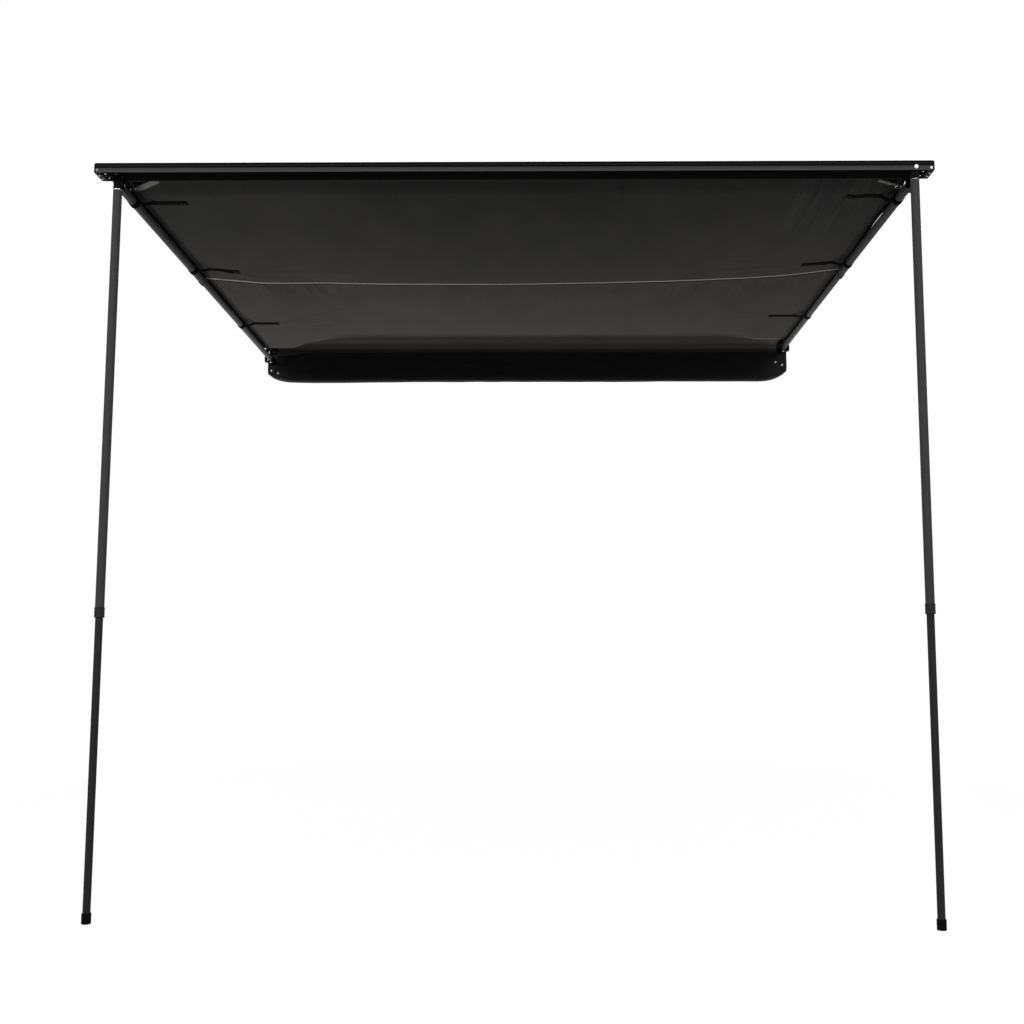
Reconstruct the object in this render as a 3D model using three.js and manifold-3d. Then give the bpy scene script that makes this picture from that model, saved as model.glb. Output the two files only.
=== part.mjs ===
// Vehicle side awning, set up: a back rail, a stretched canopy, a front beam, two telescopic
// arms that swing out from the rail and two telescopic legs that fold into the beam.
// Millimetres, +Z up. The origin is the middle of the rail's back face, which bolts to the
// vehicle. +X runs along the rail and -Y points out from the vehicle to the front beam.
import * as THREE from "three";
import { mergeVertices } from "three/addons/utils/BufferGeometryUtils.js";
import Module from "manifold-3d";

const wasm = await Module();
wasm.setup();

// Overall sizes
const BEAM_LENGTH = 2500;
const REACH = 2120; // back face of the rail to the front face of the beam
const LEG_DROP = 2182; // bottom edge of the beam to the ground

// Clearances, the overrun of cuts and how close two corners are to count as one
const GAP = 0.3;
const OVERRUN = 5;
const SAME_CORNER = 0.0001;

// Canopy sheet and the sail track that the rail and the beam share
const SHEET_THICKNESS = 1.2;
const SHEET_SAG = 16.5; // from its tracks down to the tops of the arms
const SHEET_FRONT_EASE = 130; // length behind the beam over which it comes down
const SHEET_REAR_EASE = 450; // length before the rail over which its middle goes up again
const SHEET_CORNER_EASE = 130; // the same along its side edges
const SHEET_EASE_FROM = 860; // distance from the middle at which the first gives way to the second
const SHEET_EASE_TO = 1090;
const SHEET_HELD_BAND = 159; // band along the left arm that follows the arm's fall
const SHEET_BAND_EASE = 300; // width over which the band blends into the rest
const SHEET_FRONT_ROWS = 6;
const SHEET_MIDDLE_ROWS = 12;
const SHEET_REAR_ROWS = 8;
const SHEET_REAR_CROWDING_SHARE = 1.6; // power that draws the last rows together
const SHEET_COLUMN_SHARES = [
  -1, -0.95, -0.9, -0.86, -0.82, -0.78, -0.74, -0.7, -0.66, -0.61, -0.48, -0.32, -0.16, 0, 0.16, 0.32,
  0.48, 0.64, 0.8, 0.9, 1,
];
const LEFT_OVERHANG = 9; // arm's middle to the sheet's side edge at a strap
const RIGHT_OVERHANG = 6;
const SHEET_SCALLOP = 6; // how far its side edges draw in between straps
const LEFT_CORNER_PULL = 3; // how far the front corners draw in
const RIGHT_CORNER_PULL = 18;
const SHEET_REAR_PULL = 3;
const BEAD_RADIUS = 2.9;
const BEAD_CLEARANCE = 0.6;
const TRACK_WALL = 2;
const TRACK_SLOT = 2.8;
const GROMMET_INSET = 11; // in from the arm's middle
const GROMMET_TO_STRAP = 42;
const GROMMET_EYE_RADIUS = 5;
const GROMMET_BARREL_WALL = 1;
const GROMMET_FLANGE_RADIUS = 9.5;
const GROMMET_FLANGE_THICKNESS = 1;

// Front beam, an inverted channel
const BEAM_HEIGHT = 28.6;
const BEAM_WALL = 2;
const LANE_CLEARANCE = 2.8; // across a leg's lock collar in its lane of the channel
const BEAM_FACE_HEIGHT = 13.5;
const BEAM_RECESS_DEPTH = 0.8;
const BEAM_RECESS_HEIGHT = 5.3;
const BEAM_FLANGE_REACH = 2.4;
const BEAM_FLANGE_HEIGHT = 6;
const BEAM_FLANGE_ROUND = 0.8;

// Fittings that close the beam
const END_PLATE = 4;
const END_BLOCK = 14;
const END_WEB_LENGTH = 64;
const END_WEB_THICKNESS = 3;
const END_CLEARANCE = 0.8;
const END_CORNER = 2.5;
const END_SCREW_INSET = 10;
const END_SCREW_HEIGHT = 7;
const END_SCREW_RADIUS = 2;
const END_SCREW_LENGTH = 14;
const END_SCREW_HEAD_RADIUS = 4.2;
const END_SCREW_HEAD_HEIGHT = 2.4;

// Tubes and twist locks
const OUTER_TUBE_RADIUS = 13;
const TUBE_CLEARANCE = 0.8; // inner tube in the outer tube's bore
const TUBE_WALL = 1.2;
const COLLAR_WALL = 1.5;
const COLLAR_LIP = 3;
const COLLAR_CHAMFER = 1.2;
const COLLAR_GRIP = 14; // length of collar round the outer tube
const COLLET_SLIT = 2;
const SPIGOT_LENGTH = 30;

// Legs
const LEG_INSET = 54.5; // beam end to the leg's middle
const LEG_PIVOT_HEIGHT = 10; // above the beam's bottom edge
const LEG_HEAD_DROP = 17.5; // bottom edge of the beam to the top of the neck, less the neck
const LEFT_LEG_NECK = 19; // the left leg's neck is longer, so its tube starts lower
const RIGHT_LEG_NECK = 7;
const LEG_OUTER_LENGTH = 1270;
const LEG_OVERLAP = 200;
const LEG_COLLAR_LENGTH = 30;
const LEG_EYE_RADIUS = 12;
const LEG_EYE_CLEARANCE = 4; // either side of the eye in its lane
const LEG_NECK_DEPTH = 3.4;
const LEG_SHOULDER_LENGTH = 13;
const LEG_FERRULE_LENGTH = 2.5;
const LEG_BOLT_RADIUS = 4;
const LEG_BOLT_HEAD_RADIUS = 6.8;
const LEG_BOLT_HEAD_HEIGHT = 5;
const LEG_BOLT_TAIL = 1.5; // bolt past its nut
const LEG_NUT_HEIGHT = 6.5;
const FOOT_HEIGHT = 30;
const FOOT_WALL = 2.2;
const FOOT_SOLE = 6;
const FOOT_CHAMFER = 1.5;

// Arms
const ARM_TO_BRACKET = 23.3; // arm's middle to the bracket's end plate
const ARM_PIVOT_STANDOFF = 32; // front of the rail to the arm's pivot
const LEFT_ARM_DROP = 50; // the left arm's pivot is lower, so the arms fold one over the other
const RIGHT_ARM_DROP = 0;
const ARM_OUTER_LENGTH = 877;
const ARM_OVERLAP = 180;
const ARM_COLLAR_LENGTH = 26;
const ARM_TIP_LENGTH = 4;
const ARM_TIP_CLEARANCE = 0.5;
const ARM_EYE_RADIUS = 13;
const ARM_EYE_HEIGHT = 16;
const ARM_STANDOFF = 20; // pivot to the end of the inner tube
const ARM_TONGUE_WIDTH = 18;
const ARM_FLANGE_LENGTH = 3.7;
const ARM_PIN_RADIUS = 4;
const ARM_PIN_HEAD_RADIUS = 7;
const ARM_PIN_HEAD_HEIGHT = 4.5;
const LUG_RADIUS = 15;
const LUG_THICKNESS = 4;
const LUG_CLEARANCE = 0.5;

// Seats that hold the arm tips at the beam's corners
const SEAT_WALL = 3;
const SEAT_DEPTH = 38;
const SEAT_INNER_SIDE = 15; // arm's middle to the seat's open inner edge
const SEAT_SIDE_CLEARANCE = 1.5;
const SEAT_HEAD_CLEARANCE = 0.8;
const SEAT_TOP_CLEARANCE = 1.1; // under the beam's sail track

// Webbing straps
const STRAP_PLACE_SHARES = [0.0943, 0.3877, 0.7108]; // of the reach, from the front of the beam
const STRAP_WIDTH = 25;
const STRAP_THICKNESS = 2;
const STRAP_TAIL_THICKNESS = 2.4;
const STRAP_TAIL_LENGTH = 160;
const LEFT_STRAP_RAKES = [52, 75, 40]; // how far each tail's inner end lies behind its loop
const RIGHT_STRAP_RAKES = [20, 71, 68];
const STRAP_SEAM_MARGIN = 0.2;

// Back rail
const RAIL_DEPTH = 32;
const RAIL_HEIGHT = 46;
const RAIL_WALL = 2.5;
const RAIL_END = 28; // end of the beam to the end of the rail
const T_SLOT_HEIGHT = 12; // middle of the slot above the middle of the rail
const T_SLOT_WIDTH = 9;
const T_SLOT_CAVITY = 15;
const T_SLOT_LIP = 2.5;
const T_SLOT_DEPTH = 10;
const BAG_TRACK_BACK = 14; // back face of the rail to the bag's track
const BRACKET_PLATE = 4;
const BRACKET_SPIGOT = 30;
const BRACKET_SCREW_RADIUS = 2.5;
const BRACKET_SCREW_LENGTH = 14;
const BRACKET_SCREW_HEAD_RADIUS = 5;
const BRACKET_SCREW_HEAD_HEIGHT = 3;

// Bag that the rolled awning is stowed in, hanging open under the rail
const BAG_INSET = 2; // end of the rail to the end of the bag
const BAG_THICKNESS = 1.6;
const BAG_DROP = 160; // below its track
const BAG_BACK = 5; // back face of the rail to the bag's back wall
const BAG_TO_LUG = 5.5; // bag's front wall to the arm's pivot lugs
const BAG_LIP_DROP = 14; // top edge of the front wall below its track
const BAG_NECK = 7;
const BAG_CORNER = 95;
const BAG_CORNER_RISE_SHARE = 0.24;
const BAG_END_DEPTH_SHARE = 0.7;

// Facets of round shapes, counts only
const ROUND = 28;
const SMALL_ROUND = 20;
const CORNER_ROUND = 5;

// Sizes and places worked out from the sizes above
const INNER_TUBE_RADIUS = OUTER_TUBE_RADIUS - TUBE_WALL - TUBE_CLEARANCE;
const COLLAR_RADIUS = OUTER_TUBE_RADIUS + GAP + COLLAR_WALL;
const FOOT_RADIUS = INNER_TUBE_RADIUS + GAP + FOOT_WALL;
const BEAD_TRACK_RADIUS = BEAD_RADIUS + BEAD_CLEARANCE;
const TRACK_RADIUS = BEAD_TRACK_RADIUS + TRACK_WALL;
const BEAM_TOP = TRACK_RADIUS;
const BEAM_BOTTOM = BEAM_TOP - BEAM_HEIGHT;
const LANE_WIDTH = 2 * COLLAR_RADIUS + LANE_CLEARANCE;
const BEAM_DEPTH = 2 * LANE_WIDTH + 2 * BEAM_WALL;
const BEAM_FRONT = -REACH;
const BEAM_REAR = BEAM_FRONT + BEAM_DEPTH;
const BEAM_TRACK_Y = BEAM_REAR + BEAD_TRACK_RADIUS;
const BEAM_END_X = BEAM_LENGTH / 2 - END_PLATE - GAP;
const END_BLOCK_X = BEAM_LENGTH / 2 - END_PLATE - END_BLOCK;
const END_WEB_X = END_BLOCK_X - END_WEB_LENGTH;
const FRONT_LANE_Y = BEAM_FRONT + BEAM_WALL + LANE_WIDTH / 2;
const REAR_LANE_Y = FRONT_LANE_Y + LANE_WIDTH;
const LANE_DIVIDE_Y = BEAM_FRONT + BEAM_DEPTH / 2;
const LEG_X = BEAM_LENGTH / 2 - LEG_INSET;
const LEG_PIVOT_Z = BEAM_BOTTOM + LEG_PIVOT_HEIGHT;
const GROUND = BEAM_BOTTOM - LEG_DROP;
const RAIL_END_X = BEAM_LENGTH / 2 - RAIL_END;
const ARM_X = RAIL_END_X + GAP - ARM_TO_BRACKET;
const ARM_PIVOT_BACK = RAIL_DEPTH + ARM_PIVOT_STANDOFF;
const SEAT_FACE_Y = BEAM_REAR + GAP + SEAT_WALL;
const ARM_TIP_Y = SEAT_FACE_Y + ARM_TIP_CLEARANCE;
const ARM_TIP_Z = BEAM_BOTTOM - OUTER_TUBE_RADIUS;
const ARM_RUN = -ARM_PIVOT_BACK - ARM_TIP_Y;
const RAIL_TRACK_Y = -RAIL_DEPTH - BEAD_TRACK_RADIUS;
const RAIL_BOTTOM = -RAIL_HEIGHT / 2;
const BAG_TRACK_Z = RAIL_BOTTOM - BEAD_TRACK_RADIUS;
const SHEET_FRONT_Y = BEAM_TRACK_Y + BEAD_RADIUS + GAP;
const SHEET_REAR_Y = RAIL_TRACK_Y - BEAD_RADIUS - GAP;
const SHEET_FRONT = SHEET_FRONT_Y - BEAM_FRONT;
const SHEET_REAR = SHEET_REAR_Y - BEAM_FRONT;
const BEAD_HALF_LENGTH = ARM_X + RIGHT_OVERHANG - RIGHT_CORNER_PULL;
const STRAP_PLACES = STRAP_PLACE_SHARES.map((share) => share * REACH);
const GROMMET_X = ARM_X - GROMMET_INSET;
const GROMMET_BACK = STRAP_PLACES[0] - GROMMET_TO_STRAP;
const BAG_HALF_LENGTH = RAIL_END_X - BAG_INSET;
const BAG_FRONT = ARM_PIVOT_BACK - LUG_RADIUS - BAG_TO_LUG;

// Finishes
function finish(color, roughness, metalness) {
  return new THREE.MeshStandardMaterial({ color, roughness, metalness });
}
const ALUMINIUM = finish(0x4a4a4c, 0.42, 0.9);
const MOULDED = finish(0x161617, 0.6, 0);
const STEEL = finish(0xb9bbbd, 0.28, 1);
const RUBBER = finish(0x141414, 0.85, 0);
const CLOTH = finish(0x3c3a38, 0.95, 0);
const WEBBING = finish(0x0b0b0c, 0.9, 0);
const COATED_FABRIC = finish(0x0c0c0d, 0.7, 0);

// A closed three.js geometry as a solid, its faces turned outwards
function solid(geometry) {
  const bare = geometry.index ? geometry.toNonIndexed() : geometry.clone();
  bare.deleteAttribute("normal");
  bare.deleteAttribute("uv");
  const merged = mergeVertices(bare, SAME_CORNER);
  const index = merged.index.array;
  const kept = [];
  for (let i = 0; i < index.length; i += 3) {
    const [a, b, c] = [index[i], index[i + 1], index[i + 2]];
    if (a !== b && b !== c && c !== a) kept.push(a, b, c);
  }
  const corners = merged.attributes.position.array;
  const made = new wasm.Manifold(
    new wasm.Mesh({ numProp: 3, vertProperties: corners, triVerts: new Uint32Array(kept) }),
  );
  if (made.volume() >= 0) return made;
  for (let i = 0; i < kept.length; i += 3) [kept[i], kept[i + 1]] = [kept[i + 1], kept[i]];
  return new wasm.Manifold(
    new wasm.Mesh({ numProp: 3, vertProperties: corners, triVerts: new Uint32Array(kept) }),
  );
}

function joined(...pieces) {
  return pieces.reduce((whole, piece) => whole.add(piece));
}

// A named mesh of a solid
function part(name, body, material) {
  const mesh = body.getMesh();
  const corners = new Float32Array(mesh.numVert * 3);
  for (let i = 0; i < mesh.numVert; i++) {
    corners.set(mesh.vertProperties.subarray(i * mesh.numProp, i * mesh.numProp + 3), i * 3);
  }
  const geometry = new THREE.BufferGeometry();
  geometry.setAttribute("position", new THREE.BufferAttribute(corners, 3));
  geometry.setIndex(new THREE.BufferAttribute(new Uint32Array(mesh.triVerts), 1));
  geometry.computeVertexNormals();
  const made = new THREE.Mesh(geometry, material);
  made.name = name;
  return made;
}

function box([x0, x1], [y0, y1], [z0, z1]) {
  const geometry = new THREE.BoxGeometry(Math.abs(x1 - x0), y1 - y0, z1 - z0);
  geometry.translate((x0 + x1) / 2, (y0 + y1) / 2, (z0 + z1) / 2);
  return solid(geometry);
}

// A round bar along an axis of the frame, between two places on it
function bar(axis, radius, from, to, [a, b], facets = SMALL_ROUND) {
  const geometry = new THREE.CylinderGeometry(radius, radius, Math.abs(to - from), facets);
  const middle = (from + to) / 2;
  if (axis === "x") geometry.rotateZ(Math.PI / 2).translate(middle, a, b);
  if (axis === "y") geometry.translate(a, middle, b);
  if (axis === "z") geometry.rotateX(Math.PI / 2).translate(a, b, middle);
  return solid(geometry);
}

// A turned shape about Z from its radii and heights, closed on itself or on the axis
function turned(profile, facets = ROUND) {
  const points = profile.map(([radius, height]) => new THREE.Vector2(radius, height));
  const geometry = new THREE.LatheGeometry(points, facets);
  geometry.rotateX(Math.PI / 2);
  return solid(geometry);
}

function ring(outer, inner, from, to, facets = ROUND) {
  return turned([[inner, from], [outer, from], [outer, to], [inner, to], [inner, from]], facets);
}

// A section drawn in Y and Z, run along X
function alongX(shape, from, to) {
  const geometry = new THREE.ExtrudeGeometry(shape, {
    depth: to - from,
    bevelEnabled: false,
    curveSegments: CORNER_ROUND,
  });
  const turn = new THREE.Matrix4().makeBasis(
    new THREE.Vector3(0, 1, 0), new THREE.Vector3(0, 0, 1), new THREE.Vector3(1, 0, 0),
  );
  geometry.applyMatrix4(turn).translate(from, 0, 0);
  return solid(geometry);
}

// A section drawn in X and Z, run along Y
function alongY(shape, from, to) {
  const geometry = new THREE.ExtrudeGeometry(shape, { depth: to - from, bevelEnabled: false });
  geometry.rotateX(Math.PI / 2).translate(0, to, 0);
  return solid(geometry);
}

// A plan drawn in X and Y, run through the whole height that the canopy takes
function alongZ(shape) {
  const deep = SHEET_SAG + LEFT_ARM_DROP + BEAM_HEIGHT;
  const geometry = new THREE.ExtrudeGeometry(shape, { depth: 2 * deep, bevelEnabled: false });
  geometry.translate(0, 0, -deep);
  return solid(geometry);
}

function outline(points) {
  return new THREE.Shape(points.map(([a, b]) => new THREE.Vector2(a, b)));
}

function roundedOutline([a0, a1], [b0, b1], radius) {
  const shape = new THREE.Shape();
  shape.moveTo(a0 + radius, b0);
  shape.lineTo(a1 - radius, b0);
  shape.absarc(a1 - radius, b0 + radius, radius, -Math.PI / 2, 0);
  shape.lineTo(a1, b1 - radius);
  shape.absarc(a1 - radius, b1 - radius, radius, 0, Math.PI / 2);
  shape.lineTo(a0 + radius, b1);
  shape.absarc(a0 + radius, b1 - radius, radius, Math.PI / 2, Math.PI);
  shape.lineTo(a0, b0 + radius);
  shape.absarc(a0 + radius, b0 + radius, radius, Math.PI, Math.PI * 1.5);
  return shape;
}

// A sail track: its tube wall, and the bore and slot that are cut for the bead and the sheet
function track(y, z, halfLength, slotBox) {
  const wall = bar("x", TRACK_RADIUS, -halfLength, halfLength, [y, z], ROUND);
  const end = halfLength + OVERRUN;
  const bore = bar("x", BEAD_TRACK_RADIUS, -end, end, [y, z], ROUND);
  return { wall, cut: bore.add(box([-end, end], ...slotBox)) };
}

// Left is -1 and right is +1
const SIDES = [
  {
    name: "left", side: -1, laneY: REAR_LANE_Y, armDrop: LEFT_ARM_DROP,
    neckLength: LEFT_LEG_NECK, overhang: LEFT_OVERHANG, cornerPull: LEFT_CORNER_PULL,
    rakes: LEFT_STRAP_RAKES,
  },
  {
    name: "right", side: 1, laneY: FRONT_LANE_Y, armDrop: RIGHT_ARM_DROP,
    neckLength: RIGHT_LEG_NECK, overhang: RIGHT_OVERHANG, cornerPull: RIGHT_CORNER_PULL,
    rakes: RIGHT_STRAP_RAKES,
  },
];

// Front beam: channel, relief on its face, sail track and the holes for bolts and screws
function beamSection() {
  const y = (depth) => BEAM_FRONT + depth;
  const recessTop = BEAM_BOTTOM + BEAM_FACE_HEIGHT + BEAM_RECESS_HEIGHT + BEAM_RECESS_DEPTH;
  return outline([
    [y(0), BEAM_BOTTOM],
    [y(BEAM_WALL), BEAM_BOTTOM],
    [y(BEAM_WALL), BEAM_TOP - BEAM_WALL],
    [y(BEAM_DEPTH - BEAM_WALL), BEAM_TOP - BEAM_WALL],
    [y(BEAM_DEPTH - BEAM_WALL), BEAM_BOTTOM],
    [y(BEAM_DEPTH), BEAM_BOTTOM],
    [y(BEAM_DEPTH), BEAM_TOP],
    [y(BEAM_FLANGE_ROUND - BEAM_FLANGE_REACH), BEAM_TOP],
    [y(-BEAM_FLANGE_REACH), BEAM_TOP - BEAM_FLANGE_ROUND],
    [y(-BEAM_FLANGE_REACH), BEAM_TOP - BEAM_FLANGE_HEIGHT],
    [y(BEAM_RECESS_DEPTH), recessTop],
    [y(BEAM_RECESS_DEPTH), BEAM_BOTTOM + BEAM_FACE_HEIGHT + BEAM_RECESS_DEPTH],
    [y(0), BEAM_BOTTOM + BEAM_FACE_HEIGHT],
  ]);
}

function frontBeam() {
  const slot = [
    [BEAM_TRACK_Y, BEAM_TRACK_Y + TRACK_RADIUS + OVERRUN],
    [-TRACK_SLOT / 2, TRACK_SLOT / 2],
  ];
  const { wall, cut } = track(BEAM_TRACK_Y, 0, BEAM_END_X, slot);
  const boltHole = LEG_BOLT_RADIUS + GAP;
  const screwHole = END_SCREW_RADIUS + GAP;
  const screwZ = BEAM_BOTTOM + END_SCREW_HEIGHT;
  const throughFront = [BEAM_FRONT - OVERRUN, BEAM_FRONT + BEAM_WALL + OVERRUN];
  const throughRear = [BEAM_REAR - BEAM_WALL - OVERRUN, BEAM_REAR + OVERRUN];
  let beam = alongX(beamSection(), -BEAM_END_X, BEAM_END_X).add(wall).subtract(cut);
  beam = beam.subtract(bar("y", boltHole, ...throughFront, [LEG_X, LEG_PIVOT_Z]));
  beam = beam.subtract(bar("y", boltHole, ...throughRear, [-LEG_X, LEG_PIVOT_Z]));
  for (const { side } of SIDES) {
    const screwX = side * (BEAM_LENGTH / 2 - END_SCREW_INSET);
    beam = beam.subtract(bar("y", screwHole, ...throughFront, [screwX, screwZ]));
  }
  return part("front_beam", beam, ALUMINIUM);
}

// Moulded end: a plate over the beam's end, a block in the channel and a web between its lanes
function beamEnd({ name, side }) {
  const plateShape = roundedOutline([BEAM_FRONT, BEAM_REAR], [BEAM_BOTTOM, BEAM_TOP], END_CORNER);
  const plateX = [side * (BEAM_LENGTH / 2 - END_PLATE), (side * BEAM_LENGTH) / 2].sort(byValue);
  const blockX = [side * END_BLOCK_X, side * (BEAM_LENGTH / 2 - END_PLATE / 2)].sort(byValue);
  const webX = [side * END_WEB_X, side * (END_BLOCK_X + END_BLOCK / 2)].sort(byValue);
  const inside = [BEAM_BOTTOM + END_CLEARANCE, BEAM_TOP - BEAM_WALL - GAP];
  const blockY = [BEAM_FRONT + BEAM_WALL + GAP, BEAM_REAR - BEAM_WALL - GAP];
  const webY = [LANE_DIVIDE_Y - END_WEB_THICKNESS / 2, LANE_DIVIDE_Y + END_WEB_THICKNESS / 2];
  const screwX = side * (BEAM_LENGTH / 2 - END_SCREW_INSET);
  const screwEnd = BEAM_FRONT - GAP + END_SCREW_LENGTH + GAP;
  const body = joined(
    alongX(plateShape, ...plateX),
    box(blockX, blockY, inside),
    box(webX, webY, inside),
  )
    .subtract(
      bar("y", LEG_BOLT_RADIUS + GAP, webY[0] - OVERRUN, webY[1] + OVERRUN, [
        side * LEG_X, LEG_PIVOT_Z,
      ]),
    )
    .subtract(
      bar("y", END_SCREW_RADIUS + GAP, BEAM_FRONT - OVERRUN, screwEnd, [
        screwX, BEAM_BOTTOM + END_SCREW_HEIGHT,
      ]),
    );
  return part(`${name}_beam_end`, body, MOULDED);
}

function byValue(a, b) {
  return a - b;
}

function endScrew({ name, side }) {
  const place = [side * (BEAM_LENGTH / 2 - END_SCREW_INSET), BEAM_BOTTOM + END_SCREW_HEIGHT];
  const underHead = BEAM_FRONT - GAP;
  const head = bar("y", END_SCREW_HEAD_RADIUS, underHead - END_SCREW_HEAD_HEIGHT, underHead, place);
  const shank = bar("y", END_SCREW_RADIUS, underHead - END_SCREW_HEAD_HEIGHT / 2,
    underHead + END_SCREW_LENGTH, place);
  return part(`${name}_end_screw`, head.add(shank), STEEL);
}

// The leg's bolt crosses its lane from the beam's wall to the web, and its nut is behind the web
function legBolt({ name, side }) {
  const place = [side * LEG_X, LEG_PIVOT_Z];
  const inward = side > 0 ? 1 : -1; // the right bolt enters from the front, the left from behind
  const wallFace = side > 0 ? BEAM_FRONT : BEAM_REAR;
  const underHead = wallFace - inward * GAP;
  const webFace = LANE_DIVIDE_Y + (inward * END_WEB_THICKNESS) / 2;
  const nutFace = webFace + inward * GAP;
  const end = nutFace + inward * (LEG_NUT_HEIGHT + LEG_BOLT_TAIL);
  const head = bar("y", LEG_BOLT_HEAD_RADIUS, underHead, underHead - inward * LEG_BOLT_HEAD_HEIGHT,
    place, 6);
  const shank = bar("y", LEG_BOLT_RADIUS, underHead - (inward * LEG_BOLT_HEAD_HEIGHT) / 2, end, place);
  const nut = bar("y", LEG_BOLT_HEAD_RADIUS, nutFace, nutFace + inward * LEG_NUT_HEIGHT, place, 6);
  const bore = bar("y", LEG_BOLT_RADIUS + GAP, nutFace - inward * OVERRUN,
    nutFace + inward * (LEG_NUT_HEIGHT + OVERRUN), place);
  return [
    part(`${name}_leg_bolt`, head.add(shank), STEEL),
    part(`${name}_leg_nut`, nut.subtract(bore), STEEL),
  ];
}

// Arm pose: the arm runs from its tip, behind the beam, back to its pivot at the rail
function armPose({ side, armDrop }) {
  const length = Math.hypot(ARM_RUN, armDrop);
  const tilt = Math.asin(armDrop / length);
  return { side, length, tilt, x: side * ARM_X };
}

// Height of the arm's middle at a distance behind the beam's front face
function armHeight(pose, back) {
  return ARM_TIP_Z - (BEAM_FRONT + back - ARM_TIP_Y) * Math.tan(pose.tilt);
}

// Seat for the arm's tip: a plate on the beam's rear wall, an outer side and a floor, open
// inwards and to the rear so the arm can be drawn back or swung in
function armSeat(sideInfo) {
  const { name, side } = sideInfo;
  const pose = armPose(sideInfo);
  const radius = OUTER_TUBE_RADIUS;
  const outerX = ARM_X + radius + SEAT_SIDE_CLEARANCE;
  const wide = [side * (ARM_X - SEAT_INNER_SIDE), side * (outerX + SEAT_WALL)].sort(byValue);
  const sideX = [side * outerX, side * (outerX + SEAT_WALL)].sort(byValue);
  const fall = SEAT_DEPTH * Math.tan(pose.tilt);
  const floorTop = ARM_TIP_Z - radius - GAP - fall;
  const floorZ = [floorTop - SEAT_WALL, floorTop];
  const plateY = [BEAM_REAR + GAP, SEAT_FACE_Y];
  const reachY = [BEAM_REAR + GAP, BEAM_REAR + GAP + SEAT_DEPTH];
  const sideTop = BEAM_BOTTOM - GAP;
  const headRoom = LEG_BOLT_HEAD_RADIUS + SEAT_HEAD_CLEARANCE;
  const body = joined(
    box(wide, plateY, [floorZ[0], -TRACK_RADIUS - SEAT_TOP_CLEARANCE]),
    box(wide, reachY, floorZ),
    box(sideX, reachY, [floorZ[0], sideTop]),
  ).subtract(
    bar("y", headRoom, plateY[0] - OVERRUN, plateY[1] + OVERRUN, [side * LEG_X, LEG_PIVOT_Z]),
  );
  return part(`${name}_arm_seat`, body, MOULDED);
}

// Telescopic set along local +Z: outer tube from zero, twist lock at its end, inner tube beyond
function telescope(prefix, { outerLength, overlap, innerEnd, collarLength }) {
  const collarStart = outerLength - COLLAR_GRIP;
  const collarEnd = collarStart + collarLength;
  const bore = OUTER_TUBE_RADIUS + GAP;
  const mouth = INNER_TUBE_RADIUS + GAP;
  const collar = turned([
    [bore, collarStart],
    [COLLAR_RADIUS - COLLAR_CHAMFER, collarStart],
    [COLLAR_RADIUS, collarStart + COLLAR_CHAMFER],
    [COLLAR_RADIUS, collarEnd - COLLAR_CHAMFER],
    [COLLAR_RADIUS - COLLAR_CHAMFER, collarEnd],
    [mouth, collarEnd],
    [mouth, collarEnd - COLLAR_LIP],
    [bore, collarEnd - COLLAR_LIP],
    [bore, collarStart],
  ]);
  const colletStart = outerLength + GAP;
  const colletEnd = collarEnd - COLLAR_LIP - GAP;
  const slit = box(
    [0, OUTER_TUBE_RADIUS + OVERRUN],
    [-COLLET_SLIT / 2, COLLET_SLIT / 2],
    [colletStart - OVERRUN, colletEnd + OVERRUN],
  );
  const outer = ring(OUTER_TUBE_RADIUS, OUTER_TUBE_RADIUS - TUBE_WALL, 0, outerLength);
  const inner = ring(INNER_TUBE_RADIUS, INNER_TUBE_RADIUS - TUBE_WALL, outerLength - overlap, innerEnd);
  const collet = ring(OUTER_TUBE_RADIUS, mouth, colletStart, colletEnd).subtract(slit);
  return {
    outer: part(`${prefix}_outer_tube`, outer, ALUMINIUM),
    inner: part(`${prefix}_inner_tube`, inner, ALUMINIUM),
    collar: part(`${prefix}_lock_collar`, collar, MOULDED),
    collet: part(`${prefix}_lock_collet`, collet, MOULDED),
  };
}

// Moulded head of a leg: eye in the beam's lane, shoulder, neck and spigot in the tube
function legKnuckle({ name, neckLength }) {
  const pivot = -(LEG_HEAD_DROP + neckLength + LEG_PIVOT_HEIGHT);
  const neckTop = -LEG_FERRULE_LENGTH - neckLength;
  const shoulderTop = neckTop - LEG_SHOULDER_LENGTH;
  const neck = OUTER_TUBE_RADIUS - LEG_NECK_DEPTH;
  const spigot = OUTER_TUBE_RADIUS - TUBE_WALL - GAP;
  const stem = turned([
    [0, SPIGOT_LENGTH],
    [spigot, SPIGOT_LENGTH],
    [spigot, -GAP],
    [OUTER_TUBE_RADIUS, -GAP],
    [OUTER_TUBE_RADIUS, -LEG_FERRULE_LENGTH],
    [neck, -LEG_FERRULE_LENGTH],
    [OUTER_TUBE_RADIUS, neckTop],
    [OUTER_TUBE_RADIUS, shoulderTop],
    [0, shoulderTop],
  ]);
  const half = LANE_WIDTH / 2 - LEG_EYE_CLEARANCE;
  const cheek = box([-LEG_EYE_RADIUS, LEG_EYE_RADIUS], [-half, half], [pivot, neckTop]);
  const eye = bar("y", LEG_EYE_RADIUS, -half, half, [0, pivot], ROUND);
  const bore = bar("y", LEG_BOLT_RADIUS + GAP, -half - OVERRUN, half + OVERRUN, [0, pivot]);
  return part(`${name}_leg_knuckle`, joined(stem, cheek, eye).subtract(bore), MOULDED);
}

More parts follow.
